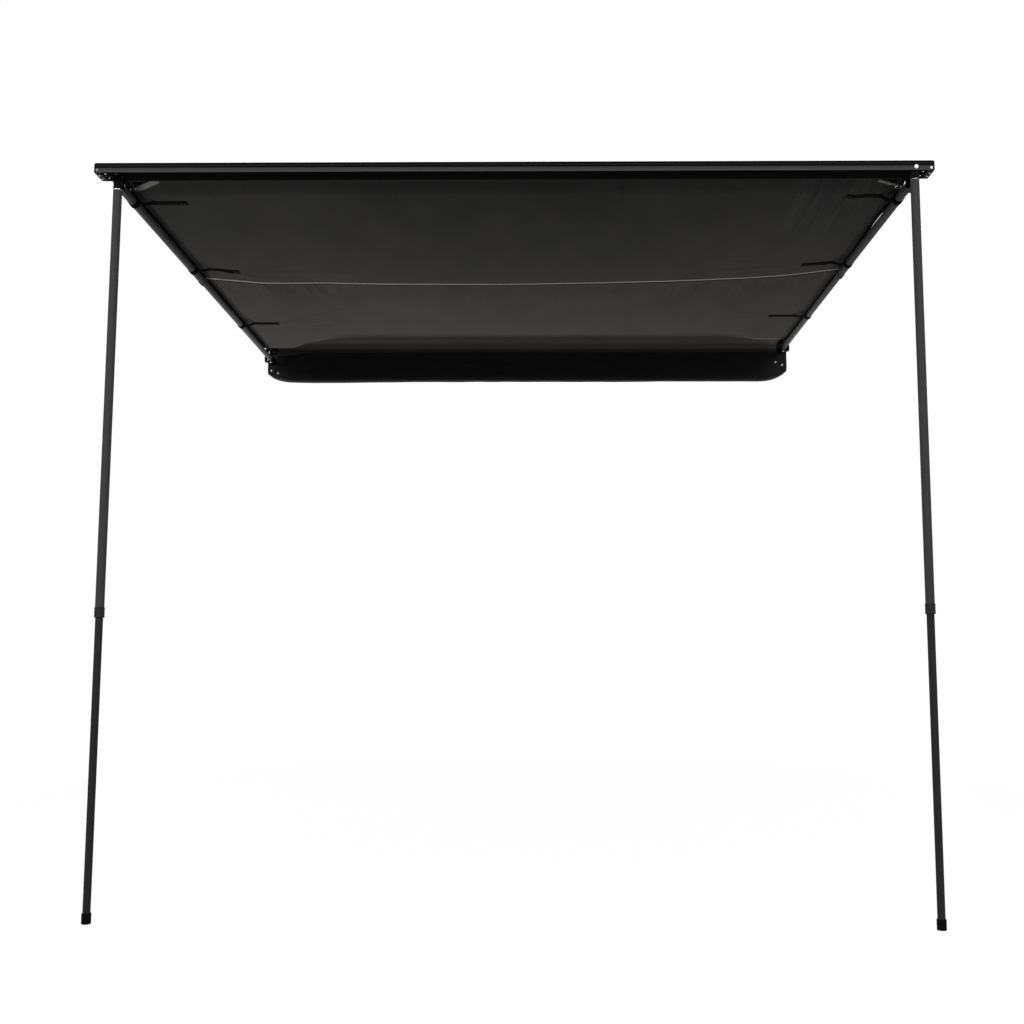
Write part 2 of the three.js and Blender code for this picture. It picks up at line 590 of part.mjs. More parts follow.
function legFoot(name, ground) {
  const mouth = INNER_TUBE_RADIUS + GAP;
  const top = ground - FOOT_HEIGHT;
  return part(`${name}_leg_foot`, turned([
    [0, ground],
    [FOOT_RADIUS - FOOT_CHAMFER, ground],
    [FOOT_RADIUS, ground - FOOT_CHAMFER],
    [FOOT_RADIUS, top + FOOT_CHAMFER],
    [FOOT_RADIUS - FOOT_CHAMFER, top],
    [mouth, top],
    [mouth, ground - FOOT_SOLE],
    [0, ground - FOOT_SOLE],
  ]), RUBBER);
}

// A leg hangs from its pivot, its local +Z pointing down
function leg(sideInfo) {
  const { name, side, laneY, neckLength } = sideInfo;
  const group = new THREE.Group();
  group.position.set(side * LEG_X, laneY, BEAM_BOTTOM - LEG_HEAD_DROP - neckLength);
  group.rotation.x = Math.PI;
  const ground = LEG_DROP - LEG_HEAD_DROP - neckLength;
  const tubes = telescope(`${name}_leg`, {
    outerLength: LEG_OUTER_LENGTH,
    overlap: LEG_OVERLAP,
    innerEnd: ground - FOOT_SOLE - GAP,
    collarLength: LEG_COLLAR_LENGTH,
  });
  group.add(legKnuckle(sideInfo), ...Object.values(tubes), legFoot(name, ground));
  return group;
}

function armTip(name) {
  const spigot = OUTER_TUBE_RADIUS - TUBE_WALL - GAP;
  return part(`${name}_arm_tip`, turned([
    [0, -ARM_TIP_LENGTH],
    [OUTER_TUBE_RADIUS - COLLAR_CHAMFER, -ARM_TIP_LENGTH],
    [OUTER_TUBE_RADIUS, -ARM_TIP_LENGTH + COLLAR_CHAMFER],
    [OUTER_TUBE_RADIUS, -GAP],
    [spigot, -GAP],
    [spigot, SPIGOT_LENGTH],
    [0, SPIGOT_LENGTH],
  ]), MOULDED);
}

// Eye at the rail end of an arm, its pivot along local Y
function armKnuckle(name, pivot) {
  const half = ARM_EYE_HEIGHT / 2;
  const tubeEnd = pivot - ARM_STANDOFF;
  const spigot = INNER_TUBE_RADIUS - TUBE_WALL - GAP;
  const plug = turned([
    [0, tubeEnd - SPIGOT_LENGTH],
    [spigot, tubeEnd - SPIGOT_LENGTH],
    [spigot, tubeEnd + GAP],
    [INNER_TUBE_RADIUS, tubeEnd + GAP],
    [INNER_TUBE_RADIUS, tubeEnd + ARM_FLANGE_LENGTH],
    [0, tubeEnd + ARM_FLANGE_LENGTH],
  ]);
  const tongue = box(
    [-ARM_TONGUE_WIDTH / 2, ARM_TONGUE_WIDTH / 2], [-half, half], [tubeEnd + GAP, pivot],
  );
  const eye = bar("y", ARM_EYE_RADIUS, -half, half, [0, pivot], ROUND);
  const bore = bar("y", ARM_PIN_RADIUS + GAP, -half - OVERRUN, half + OVERRUN, [0, pivot]);
  return part(`${name}_arm_knuckle`, joined(plug, tongue, eye).subtract(bore), MOULDED);
}

// An arm runs back from its tip along local +Z, with its pivot along local Y
function armGroup(pose) {
  const group = new THREE.Group();
  group.position.set(pose.x, ARM_TIP_Y, ARM_TIP_Z);
  group.rotation.x = -Math.PI / 2 - pose.tilt;
  return group;
}

function arm(sideInfo) {
  const { name } = sideInfo;
  const pose = armPose(sideInfo);
  const group = armGroup(pose);
  const pivot = pose.length - ARM_TIP_LENGTH;
  const tubes = telescope(`${name}_arm`, {
    outerLength: ARM_OUTER_LENGTH,
    overlap: ARM_OVERLAP,
    innerEnd: pivot - ARM_STANDOFF,
    collarLength: ARM_COLLAR_LENGTH,
  });
  const slid = new THREE.Group();
  slid.position.z = ARM_TIP_LENGTH;
  slid.add(armTip(name), ...Object.values(tubes), armKnuckle(name, pivot));
  STRAP_PLACES.forEach((back, i) => {
    const along = (BEAM_FRONT + back - ARM_TIP_Y) / Math.cos(pose.tilt) - ARM_TIP_LENGTH;
    const inner = strapTubeRadius(along) + GAP;
    const loop = ring(inner + STRAP_THICKNESS, inner, along - STRAP_WIDTH / 2, along + STRAP_WIDTH / 2);
    slid.add(part(`${name}_strap_loop_${i + 1}`, loop, WEBBING));
  });
  group.add(slid);
  return group;
}

// Radius of the arm's tube where a strap goes round it
function strapTubeRadius(along) {
  return along < ARM_OUTER_LENGTH ? OUTER_TUBE_RADIUS : INNER_TUBE_RADIUS;
}

// Bracket at the rail's end: end plate, spigot in the rail and two lugs round the arm's eye
function railBracket(sideInfo) {
  const { name, side } = sideInfo;
  const pose = armPose(sideInfo);
  const pivotZ = ARM_TIP_Z - sideInfo.armDrop;
  const pivotY = -ARM_PIVOT_BACK;
  const plateX = [side * (RAIL_END_X + GAP), side * (RAIL_END_X + GAP + BRACKET_PLATE)].sort(byValue);
  const lugGap = ARM_EYE_HEIGHT / 2 + LUG_CLEARANCE;
  const lugTop = lugGap + LUG_THICKNESS;
  const plate = alongX(outline([
    [0, RAIL_BOTTOM],
    [0, -RAIL_BOTTOM],
    [-RAIL_DEPTH, -RAIL_BOTTOM],
    [pivotY - LUG_RADIUS, pivotZ + lugTop],
    [pivotY - LUG_RADIUS, pivotZ - lugTop],
    [pivotY + LUG_RADIUS, pivotZ - lugTop],
  ]), ...plateX);
  const spigotX = [side * (RAIL_END_X - BRACKET_SPIGOT), side * (RAIL_END_X + GAP + BRACKET_PLATE / 2)];
  const hollow = railHollow(GAP);
  const spigot = box(spigotX.sort(byValue), ...hollow);
  const screwHole = bar("z", BRACKET_SCREW_RADIUS + GAP, hollow[1][1] + OVERRUN,
    -RAIL_BOTTOM - BRACKET_SCREW_LENGTH, bracketScrewPlace(side));
  // Lugs are square to the arm's pivot, which leans with the arm
  const lean = new THREE.Group();
  lean.position.set(side * ARM_X, pivotY, pivotZ);
  lean.rotation.x = -pose.tilt;
  lean.updateMatrix();
  const toPlate = RAIL_END_X + GAP + BRACKET_PLATE / 2 - ARM_X;
  const lugs = [[lugGap, lugTop], [-lugTop, -lugGap]].map(([low, high]) => {
    const nose = bar("z", LUG_RADIUS, low, high, [0, 0], ROUND);
    const root = box([0, side * toPlate].sort(byValue), [-LUG_RADIUS, LUG_RADIUS], [low, high]);
    const hole = bar("z", ARM_PIN_RADIUS + GAP, low - OVERRUN, high + OVERRUN, [0, 0]);
    return nose.add(root).subtract(hole).transform(lean.matrix.elements);
  });
  const body = joined(plate, spigot, ...lugs).subtract(screwHole);
  return part(`${name}_rail_bracket`, body, MOULDED);
}

// Inside of the rail's hollow in Y and Z, drawn in by a clearance
function railHollow(clearance) {
  return [
    [-RAIL_DEPTH + RAIL_WALL + clearance, -T_SLOT_DEPTH - RAIL_WALL - clearance],
    [RAIL_BOTTOM + RAIL_WALL + clearance, -RAIL_BOTTOM - RAIL_WALL - clearance],
  ];
}

function bracketScrewPlace(side) {
  const [[low, high]] = railHollow(0);
  return [side * (RAIL_END_X - BRACKET_SPIGOT / 2), (low + high) / 2];
}

function bracketScrew({ name, side }) {
  const place = bracketScrewPlace(side);
  const underHead = -RAIL_BOTTOM + GAP;
  const head = bar("z", BRACKET_SCREW_HEAD_RADIUS, underHead, underHead + BRACKET_SCREW_HEAD_HEIGHT, place);
  const shank = bar("z", BRACKET_SCREW_RADIUS, underHead + BRACKET_SCREW_HEAD_HEIGHT / 2,
    -RAIL_BOTTOM - BRACKET_SCREW_LENGTH + GAP, place);
  return part(`${name}_bracket_screw`, head.add(shank), STEEL);
}

// Bolt through the lugs and the arm's eye, its head underneath
function armPin(sideInfo) {
  const pose = armPose(sideInfo);
  const lugTop = ARM_EYE_HEIGHT / 2 + LUG_CLEARANCE + LUG_THICKNESS;
  const underHead = -lugTop - GAP;
  const head = bar("z", ARM_PIN_HEAD_RADIUS, underHead, underHead - ARM_PIN_HEAD_HEIGHT, [0, 0], 6);
  const shank = bar("z", ARM_PIN_RADIUS, underHead - ARM_PIN_HEAD_HEIGHT / 2, lugTop, [0, 0]);
  const mesh = part(`${sideInfo.name}_arm_pin`, head.add(shank), STEEL);
  mesh.position.set(pose.x, -ARM_PIVOT_BACK, ARM_TIP_Z - sideInfo.armDrop);
  mesh.rotation.x = -pose.tilt;
  return mesh;
}

// Back rail: hollow box with a T-slot in its back and tracks for the canopy and the bag
function backRail() {
  const shape = outline([
    [0, RAIL_BOTTOM], [0, -RAIL_BOTTOM], [-RAIL_DEPTH, -RAIL_BOTTOM], [-RAIL_DEPTH, RAIL_BOTTOM],
  ]);
  const end = RAIL_END_X + OVERRUN;
  const long = [-end, end];
  const front = track(RAIL_TRACK_Y, 0, RAIL_END_X, [
    [RAIL_TRACK_Y - TRACK_RADIUS - OVERRUN, RAIL_TRACK_Y], [-TRACK_SLOT / 2, TRACK_SLOT / 2],
  ]);
  const under = track(-BAG_TRACK_BACK, BAG_TRACK_Z, RAIL_END_X, [
    [-BAG_TRACK_BACK - TRACK_SLOT / 2, -BAG_TRACK_BACK + TRACK_SLOT / 2],
    [BAG_TRACK_Z - TRACK_RADIUS - OVERRUN, BAG_TRACK_Z],
  ]);
  const slotZ = [T_SLOT_HEIGHT - T_SLOT_WIDTH / 2, T_SLOT_HEIGHT + T_SLOT_WIDTH / 2];
  const cavityZ = [T_SLOT_HEIGHT - T_SLOT_CAVITY / 2, T_SLOT_HEIGHT + T_SLOT_CAVITY / 2];
  let rail = joined(alongX(shape, -RAIL_END_X, RAIL_END_X), front.wall, under.wall);
  rail = rail.subtract(front.cut).subtract(under.cut);
  rail = rail.subtract(box(long, ...railHollow(0)));
  rail = rail.subtract(box(long, [-T_SLOT_DEPTH, OVERRUN], slotZ));
  rail = rail.subtract(box(long, [-T_SLOT_DEPTH, -T_SLOT_LIP], cavityZ));
  for (const { side } of SIDES) {
    rail = rail.subtract(bar("z", BRACKET_SCREW_RADIUS + GAP, -RAIL_BOTTOM + OVERRUN,
      -RAIL_BOTTOM - RAIL_WALL - OVERRUN, bracketScrewPlace(side)));
  }
  return part("back_rail", rail, ALUMINIUM);
}

function bead(name, y) {
  const body = bar("x", BEAD_RADIUS, -BEAD_HALF_LENGTH, BEAD_HALF_LENGTH, [y, 0], SMALL_ROUND);
  return part(name, body, WEBBING);
}

// How far the canopy's side edge is from the middle, from the beam to the rail: at the straps,
// half way between them and at the ends
function canopyStations({ overhang, cornerPull }) {
  const edge = ARM_X + overhang;
  const holds = [
    { back: SHEET_FRONT, half: edge - cornerPull },
    ...STRAP_PLACES.map((back) => ({ back, half: edge })),
    { back: SHEET_REAR, half: edge - SHEET_REAR_PULL },
  ];
  return holds.slice(1).flatMap((next, i) => {
    const last = holds[i];
    const middle = {
      back: (last.back + next.back) / 2,
      half: (last.half + next.half) / 2 - (i ? SHEET_SCALLOP : 0),
    };
    return i ? [middle, next] : [last, middle, next];
  });
}

// Half width of the canopy on one side, at a distance behind the beam's front face
function canopyHalfWidth(sideInfo, back) {
  const rows = canopyStations(sideInfo);
  const found = rows.findIndex((row) => row.back >= back);
  const i = found < 0 ? rows.length - 1 : Math.max(1, found);
  const [last, next] = [rows[i - 1], rows[i]];
  const share = THREE.MathUtils.clamp((back - last.back) / (next.back - last.back), 0, 1);
  return THREE.MathUtils.lerp(last.half, next.half, THREE.MathUtils.smoothstep(share, 0, 1));
}

// Height of the canopy's middle layer: level with its tracks at the beam and the rail, down on
// the arms between them, and along the left arm as low as that arm falls
function canopyHeight(x, back) {
  const { smoothstep, lerp } = THREE.MathUtils;
  const front = smoothstep(back, SHEET_FRONT, SHEET_FRONT + SHEET_FRONT_EASE);
  const outward = smoothstep(Math.abs(x), SHEET_EASE_FROM, SHEET_EASE_TO);
  const ease = lerp(SHEET_REAR_EASE, SHEET_CORNER_EASE, outward);
  const rear = 1 - smoothstep(back, SHEET_REAR - ease, SHEET_REAR);
  const held = -ARM_X + SHEET_HELD_BAND;
  const band = 1 - smoothstep(x, held, held + SHEET_BAND_EASE);
  const fall = ((back - SHEET_FRONT) * LEFT_ARM_DROP) / ARM_RUN;
  return -front * rear * (SHEET_SAG + band * fall);
}

// Place of a row of the canopy's grid, closer together where the sheet bends
function canopyRow(row) {
  const frontEnd = SHEET_FRONT + SHEET_FRONT_EASE;
  const rearStart = SHEET_REAR - SHEET_REAR_EASE;
  const { lerp } = THREE.MathUtils;
  if (row < SHEET_FRONT_ROWS) return lerp(SHEET_FRONT, frontEnd, row / SHEET_FRONT_ROWS);
  const past = row - SHEET_FRONT_ROWS;
  if (past < SHEET_MIDDLE_ROWS) return lerp(frontEnd, rearStart, past / SHEET_MIDDLE_ROWS);
  const left = 1 - (past - SHEET_MIDDLE_ROWS) / SHEET_REAR_ROWS;
  return lerp(rearStart, SHEET_REAR, 1 - left ** SHEET_REAR_CROWDING_SHARE);
}

// A closed sheet over a grid of places, thickened up and down along Z
function sheet(rows, columns, place, thickness) {
  const corners = [];
  for (const lift of [thickness / 2, -thickness / 2]) {
    for (let i = 0; i <= rows; i++) {
      for (let j = 0; j <= columns; j++) {
        const [x, y, z] = place(i, j);
        corners.push(x, y, z + lift);
      }
    }
  }
  return gridShell(corners, rows, columns);
}

// Triangles of two grids of corners, top then bottom, and the rim that joins them
function gridShell(corners, rows, columns) {
  const width = columns + 1;
  const layer = (rows + 1) * width;
  const faces = [];
  const quad = (a, b, c, d) => faces.push(a, b, c, a, c, d);
  for (let i = 0; i < rows; i++) {
    for (let j = 0; j < columns; j++) {
      const a = i * width + j;
      quad(a, a + 1, a + width + 1, a + width);
      quad(a + layer, a + layer + width, a + layer + width + 1, a + layer + 1);
    }
  }
  for (let i = 0; i < rows; i++) {
    for (const [j, turn] of [[0, false], [columns, true]]) {
      const a = i * width + j;
      if (turn) quad(a, a + layer, a + layer + width, a + width);
      else quad(a, a + width, a + layer + width, a + layer);
    }
  }
  for (let j = 0; j < columns; j++) {
    for (const [i, turn] of [[0, true], [rows, false]]) {
      const a = i * width + j;
      if (turn) quad(a, a + layer, a + layer + 1, a + 1);
      else quad(a, a + 1, a + layer + 1, a + layer);
    }
  }
  const geometry = new THREE.BufferGeometry();
  geometry.setAttribute("position", new THREE.Float32BufferAttribute(corners, 3));
  geometry.setIndex(faces);
  return solid(geometry);
}

// The canopy's whole shape in a given thickness
function canopySheet(thickness) {
  const rows = SHEET_FRONT_ROWS + SHEET_MIDDLE_ROWS + SHEET_REAR_ROWS;
  const [left, right] = SIDES;
  return sheet(rows, SHEET_COLUMN_SHARES.length - 1, (i, j) => {
    const back = canopyRow(i);
    const share = SHEET_COLUMN_SHARES[j];
    const x = share * canopyHalfWidth(share < 0 ? left : right, back);
    return [x, BEAM_FRONT + back, canopyHeight(x, back)];
  }, thickness);
}

function canopy() {
  const holeRadius = GROMMET_EYE_RADIUS + GROMMET_BARREL_WALL + GAP;
  const deep = SHEET_SAG + OVERRUN;
  const holes = SIDES.map(({ side }) =>
    bar("z", holeRadius, -deep, deep, [side * GROMMET_X, BEAM_FRONT + GROMMET_BACK]));
  return part("canopy", canopySheet(SHEET_THICKNESS).subtract(joined(...holes)), CLOTH);
}

// Eyelet through a front corner of the canopy
function grommet({ name, side }) {
  const clear = SHEET_THICKNESS / 2 + 2 * GAP;
  const face = clear + GROMMET_FLANGE_THICKNESS;
  const barrel = GROMMET_EYE_RADIUS + GROMMET_BARREL_WALL;
  const mesh = part(`${name}_grommet`, turned([
    [GROMMET_EYE_RADIUS, -face],
    [GROMMET_FLANGE_RADIUS, -face],
    [GROMMET_FLANGE_RADIUS, -clear],
    [barrel, -clear],
    [barrel, clear],
    [GROMMET_FLANGE_RADIUS, clear],
    [GROMMET_FLANGE_RADIUS, face],
    [GROMMET_EYE_RADIUS, face],
    [GROMMET_EYE_RADIUS, -face],
  ], SMALL_ROUND), STEEL);
  const x = side * GROMMET_X;
  const rise = canopyHeight(x, GROMMET_BACK + barrel) - canopyHeight(x, GROMMET_BACK - barrel);
  mesh.position.set(x, BEAM_FRONT + GROMMET_BACK, canopyHeight(x, GROMMET_BACK));
  mesh.rotation.x = Math.atan(rise / (2 * barrel));
  return mesh;
}

// Strap sewn under the canopy: a raked tail that lies along the sheet, cut from a sheet of the
// canopy's shape just under it, and a drop to the arm's loop
function strapTail(sideInfo, back, index) {
  const { name, side, rakes } = sideInfo;
  const pose = armPose(sideInfo);
  const outer = canopyHalfWidth(sideInfo, back) - SHEET_THICKNESS;
  const inner = outer - STRAP_TAIL_LENGTH;
  const half = STRAP_WIDTH / 2;
  const y = BEAM_FRONT + back;
  const lowered = (SHEET_THICKNESS + STRAP_TAIL_THICKNESS) / 2 + GAP + STRAP_SEAM_MARGIN;
  const plan = outline([
    [side * outer, y - half],
    [side * outer, y + half],
    [side * inner, y + half + rakes[index]],
    [side * inner, y - half + rakes[index]],
  ]);
  const tail = canopySheet(STRAP_TAIL_THICKNESS).translate(0, 0, -lowered).intersect(alongZ(plan));
  const along = (y - ARM_TIP_Y) / Math.cos(pose.tilt) - ARM_TIP_LENGTH;
  const loopRadius = strapTubeRadius(along) + GAP + STRAP_THICKNESS;
  const lean = half * Math.sin(pose.tilt);
  const dropEnd = armHeight(pose, back) + loopRadius / Math.cos(pose.tilt) + lean + GAP;
  const dropTop = canopyHeight(side * ARM_X, back) - lowered;
  const drop = [
    side * (ARM_X - STRAP_TAIL_THICKNESS / 2), side * (ARM_X + STRAP_TAIL_THICKNESS / 2),
  ].sort(byValue);
  const body = tail.add(box(drop, [y - half, y + half], [dropEnd, dropTop]));
  return part(`${name}_strap_tail_${index + 1}`, body, WEBBING);
}

// Cross-section of the bag from its bead, down the back wall, round and up the front wall
function bagPath() {
  const mid = (BAG_BACK + BAG_FRONT) / 2;
  const round = (BAG_FRONT - BAG_BACK) / 2;
  const points = [
    [BAG_TRACK_BACK, 0],
    [BAG_TRACK_BACK, BAG_NECK],
    [BAG_BACK + BAG_THICKNESS, BAG_DROP / 3],
    [BAG_BACK, BAG_DROP - round],
    [mid, BAG_DROP],
    [BAG_FRONT, BAG_DROP - round],
    [BAG_FRONT, BAG_DROP / 2],
    [BAG_FRONT, BAG_LIP_DROP],
  ];
  const curve = new THREE.CatmullRomCurve3(
    points.map(([back, down]) => new THREE.Vector3(-back, -down, 0)), false, "centripetal",
  );
  return curve.getPoints(22).map(({ x, y }) => [x, y]);
}

// Share of the bag's end shape at a distance along X: 0 away from the corners, 1 at the end
function bagEnd(x) {
  const into = THREE.MathUtils.clamp((Math.abs(x) - (BAG_HALF_LENGTH - BAG_CORNER)) / BAG_CORNER, 0, 1);
  return 1 - Math.sqrt(1 - into ** 2);
}

// The bag's cross-section at a distance along X, drawn in and up towards its ends
function bagSection(path, x) {
  const end = bagEnd(x);
  const depth = 1 - (1 - BAG_END_DEPTH_SHARE) * end;
  const height = 1 - BAG_CORNER_RISE_SHARE * end;
  const anchor = path[0][0];
  return path.map(([y, z]) => [anchor + (y - anchor) * depth, z * height]);
}

function bag() {
  const path = bagPath();
  const ends = [1, 0.9, 0.72, 0.45, 0].map((share) => BAG_HALF_LENGTH - BAG_CORNER * (1 - share));
  const middles = [0.66, 0.33].map((share) => share * BAG_HALF_LENGTH);
  const right = [...ends, ...middles];
  const stations = [...right.map((x) => -x), 0, ...right.reverse()];
  const corners = [];
  for (const offset of [BAG_THICKNESS / 2, -BAG_THICKNESS / 2]) {
    for (const x of stations) {
      const bent = bagSection(path, x);
      bent.forEach(([y, z], i) => {
        const [ya, za] = bent[Math.max(0, i - 1)];
        const [yb, zb] = bent[Math.min(bent.length - 1, i + 1)];
        const long = Math.hypot(yb - ya, zb - za);
        corners.push(x, y + (offset * (zb - za)) / long, BAG_TRACK_Z + z - (offset * (yb - ya)) / long);
      });
    }
  }
  const shell = gridShell(corners, stations.length - 1, path.length - 1);
  const edge = bar("x", BEAD_RADIUS, -BAG_HALF_LENGTH, BAG_HALF_LENGTH, [-BAG_TRACK_BACK, BAG_TRACK_Z]);
  const endPath = bagSection(path, BAG_HALF_LENGTH).filter(([, z]) => z < -TRACK_RADIUS - GAP);
  const panels = SIDES.map(({ side }) => {
    const across = [side * (BAG_HALF_LENGTH - BAG_THICKNESS), side * BAG_HALF_LENGTH].sort(byValue);
    return alongX(outline(endPath.map(([y, z]) => [y, BAG_TRACK_Z + z])), ...across);
  });
  return part("stowage_bag", joined(shell, edge, ...panels), COATED_FABRIC);
}

const awning = new THREE.Group();
awning.add(backRail(), bag(), canopy(), frontBeam());
awning.add(bead("canopy_front_bead", BEAM_TRACK_Y), bead("canopy_rear_bead", RAIL_TRACK_Y));
for (const sideInfo of SIDES) {
  awning.add(
    railBracket(sideInfo), bracketScrew(sideInfo), armPin(sideInfo), beamEnd(sideInfo),
    endScrew(sideInfo), ...legBolt(sideInfo), armSeat(sideInfo), grommet(sideInfo),
    ...STRAP_PLACES.map((back, i) => strapTail(sideInfo, back, i)),
    arm(sideInfo), leg(sideInfo),
  );
}

export default awning;
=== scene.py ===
"""Vehicle side awning, set up: the looks of every piece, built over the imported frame, in metres.
+X runs along the rail, -Y points out from the vehicle to the front beam and +Z is up."""
import math

import bmesh
import bpy
from mathutils import Matrix, Vector, noise


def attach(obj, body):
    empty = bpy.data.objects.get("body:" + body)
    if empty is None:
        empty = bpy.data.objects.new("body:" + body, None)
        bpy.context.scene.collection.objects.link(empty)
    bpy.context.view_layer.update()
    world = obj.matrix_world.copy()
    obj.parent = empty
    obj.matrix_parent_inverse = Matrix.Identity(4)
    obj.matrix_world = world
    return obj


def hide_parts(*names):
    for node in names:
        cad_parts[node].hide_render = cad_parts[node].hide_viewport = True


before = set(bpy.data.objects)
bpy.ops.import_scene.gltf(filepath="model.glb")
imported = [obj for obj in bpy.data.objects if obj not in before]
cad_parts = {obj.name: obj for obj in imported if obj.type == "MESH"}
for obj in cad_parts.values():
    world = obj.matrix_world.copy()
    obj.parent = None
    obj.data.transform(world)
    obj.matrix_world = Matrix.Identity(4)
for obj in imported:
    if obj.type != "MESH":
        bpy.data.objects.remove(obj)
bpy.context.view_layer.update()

# Shared places and sizes, as the CAD has them
BEAM_FRONT = -2.120
BEAM_REAR = -2.0512
BEAM_TOP = 0.0055
BEAM_BOTTOM = -0.0231
BEAM_HALF = 1.2457
TRACK_Y = -2.0477
TRACK_BORE = 0.0035
TRACK_RADIUS = 0.0055
GROUND = -2.2051
TUBE_RADIUS = 0.013
INNER_RADIUS = 0.011
LEG_X = 1.1955
LEG_PIVOT_Z = -0.0131
LEG_TUBE_LENGTH = 1.270
ARM_X = 1.199
ARM_TIP_Y = -2.0482
ARM_TIP_Z = -0.0361
ARM_RUN = 1.9842
ARM_TUBE_LENGTH = 0.877
ARM_PLUG = 0.004
SHEET_FRONT = 0.0755
SHEET_REAR = 2.0816
SHEET_SAG = 0.0165
REAR_EASE = 0.450
CORNER_EASE = 0.165
SHEET_HALF_THICK = 0.0006
STRAP_PLACES = (0.1999, 0.8219, 1.5069)
STRAP_WIDTH = 0.025
HEAD_DROP = 0.0175
BOLT_HOLE = 0.0043
EYE_EASE = 0.0008
COLLAR_LAP = 0.014
UNDER = 0.0001
FULL_TURN = math.tau
DOWN, OUT, BACK = Vector((0, 0, -1)), Vector((0, -1, 0)), Vector((0, 1, 0))


class Side:
    """What differs between the left and the right of the awning. Lane is the depth at which the leg
    hangs, drop is how much lower the arm hinges than it ends, neck is the length of the leg's neck.
    The canopy's edge stands edge from the middle, pull less at the front and bows less at slack_at
    between its holds; rakes are how far back the straps run"""

    def __init__(self, name, sign, lane, drop, neck, edge, pull, rakes, bows, slack_at):
        self.name, self.sign = name, sign
        self.lane, self.drop, self.neck = lane, drop, neck
        self.edge, self.pull, self.bows, self.slack_at = edge, pull, bows, slack_at
        self.rakes = rakes
        self.tilt = math.atan2(drop, ARM_RUN)
        self.arm_length = math.hypot(ARM_RUN, drop)
        self.arm_way = Vector((0, math.cos(self.tilt), -math.sin(self.tilt)))
        self.arm_up = Vector((0, math.sin(self.tilt), math.cos(self.tilt)))
        self.arm_tip = Vector((sign * ARM_X, ARM_TIP_Y, ARM_TIP_Z))
        self.leg_top = Vector((sign * LEG_X, lane, BEAM_BOTTOM - HEAD_DROP - neck))


LEFT = Side(
    "left", -1, lane=-2.0694, drop=0.050, neck=0.019, edge=1.208, pull=0.003,
    rakes=(0.052, 0.075, 0.040), bows=(0, 0.004, 0.004, 0.003), slack_at=0.5)
RIGHT = Side(
    "right", 1, lane=-2.1018, drop=0.0, neck=0.007, edge=1.205, pull=0.009,
    rakes=(0.020, 0.071, 0.068), bows=(0, 0.0095, 0, 0), slack_at=0.33)


# Shader arithmetic
class Level:
    """A value that changes over a surface; sums on it add Math nodes"""

    def __init__(self, finish, socket):
        self.finish = finish
        self.socket = socket

    def __add__(self, other):
        return self.finish.maths("ADD", self, other)

    __radd__ = __add__

    def __sub__(self, other):
        return self.finish.maths("SUBTRACT", self, other)

    def __rsub__(self, other):
        return self.finish.maths("SUBTRACT", other, self)

    def __mul__(self, other):
        return self.finish.maths("MULTIPLY", self, other)

    __rmul__ = __mul__

    def __pow__(self, other):
        return self.finish.maths("POWER", self, other)

    def __abs__(self):
        return self.finish.maths("ABSOLUTE", self)

    def wave(self, pitch):
        """Runs between 0 and 1, once in every pitch"""
        return self.finish.maths("SINE", self * (FULL_TURN / pitch)) * 0.5 + 0.5

    def rise(self, low, high):
        """0 below low, 1 above high, smooth between"""
        return self.finish.node(
            "ShaderNodeMapRange", {"interpolation_type": "SMOOTHSTEP"},
            {"Value": self, "From Min": low, "From Max": high},
        )

    def band(self, low, high, soft):
        """1 between low and high, fading out over soft on either side"""
        return self.rise(low - soft, low) * (1 - self.rise(high, high + soft))


class Finish:
    """The material of one of the awning's surfaces"""

    def __init__(self, name, **plain):
        self.material = bpy.data.materials.new(name)
        self.material.use_nodes = True
        self.tree = self.material.node_tree
        self.shader = self.tree.nodes["Principled BSDF"]
        for socket, value in plain.items():
            self.shader.inputs[socket.replace("_", " ")].default_value = value
        self.place = self.node("ShaderNodeTexCoord", {}, {}, "Object")
        self.x, self.y, self.z = self.parts(self.place)

    def join(self, value, socket):
        if isinstance(value, Level):
            self.tree.links.new(value.socket, socket)
        elif hasattr(value, "__len__") and len(value) == 3 and len(socket.default_value) == 4:
            socket.default_value = (*value, 1)
        else:
            socket.default_value = value

    def node(self, kind, settings, sockets, output=0):
        made = self.tree.nodes.new(kind)
        for name, value in settings.items():
            setattr(made, name, value)
        for name, value in sockets.items():
            self.join(value, made.inputs[name])
        return Level(self, made.outputs[output])

    def maths(self, operation, *terms):
        return self.node("ShaderNodeMath", {"operation": operation}, dict(enumerate(terms)))

    def parts(self, vector):
        split = self.node("ShaderNodeSeparateXYZ", {}, {"Vector": vector}).socket.node
        return [Level(self, socket) for socket in split.outputs]

    def stretched(self, x, y, z):
        """The place on the piece, scaled along each axis"""
        return self.node(
            "ShaderNodeVectorMath", {"operation": "MULTIPLY"}, {0: self.place, 1: (x, y, z)},
        )

    def cloudy(self, scale, detail=3, place=None):
        """Soft noise from 0 to 1, with scale blotches in a metre"""
        return self.node(
            "ShaderNodeTexNoise", {}, {"Vector": place or self.place, "Scale": scale, "Detail": detail},
        )

    def cells(self, scale):
        """Distance to the nearest of scattered points, for grains and pits"""
        return self.node("ShaderNodeTexVoronoi", {}, {"Vector": self.place, "Scale": scale})

    def blend(self, share, first, second):
        """A colour from first to second"""
        return self.node(
            "ShaderNodeMix", {"data_type": "RGBA"}, {0: share, 6: first, 7: second}, 2,
        )

    def bump(self, height, distance, under=None):
        """A normal from a height from 0 to 1, distance metres deep"""
        sockets = {"Height": height, "Distance": distance}
        if under:
            sockets["Normal"] = under
        return self.node("ShaderNodeBump", {}, sockets)

    def wear(self, **sockets):
        """Feeds what changes over the surface to the shader"""
        for name, value in sockets.items():
            self.join(value, self.shader.inputs[name.replace("_", " ")])
        return self


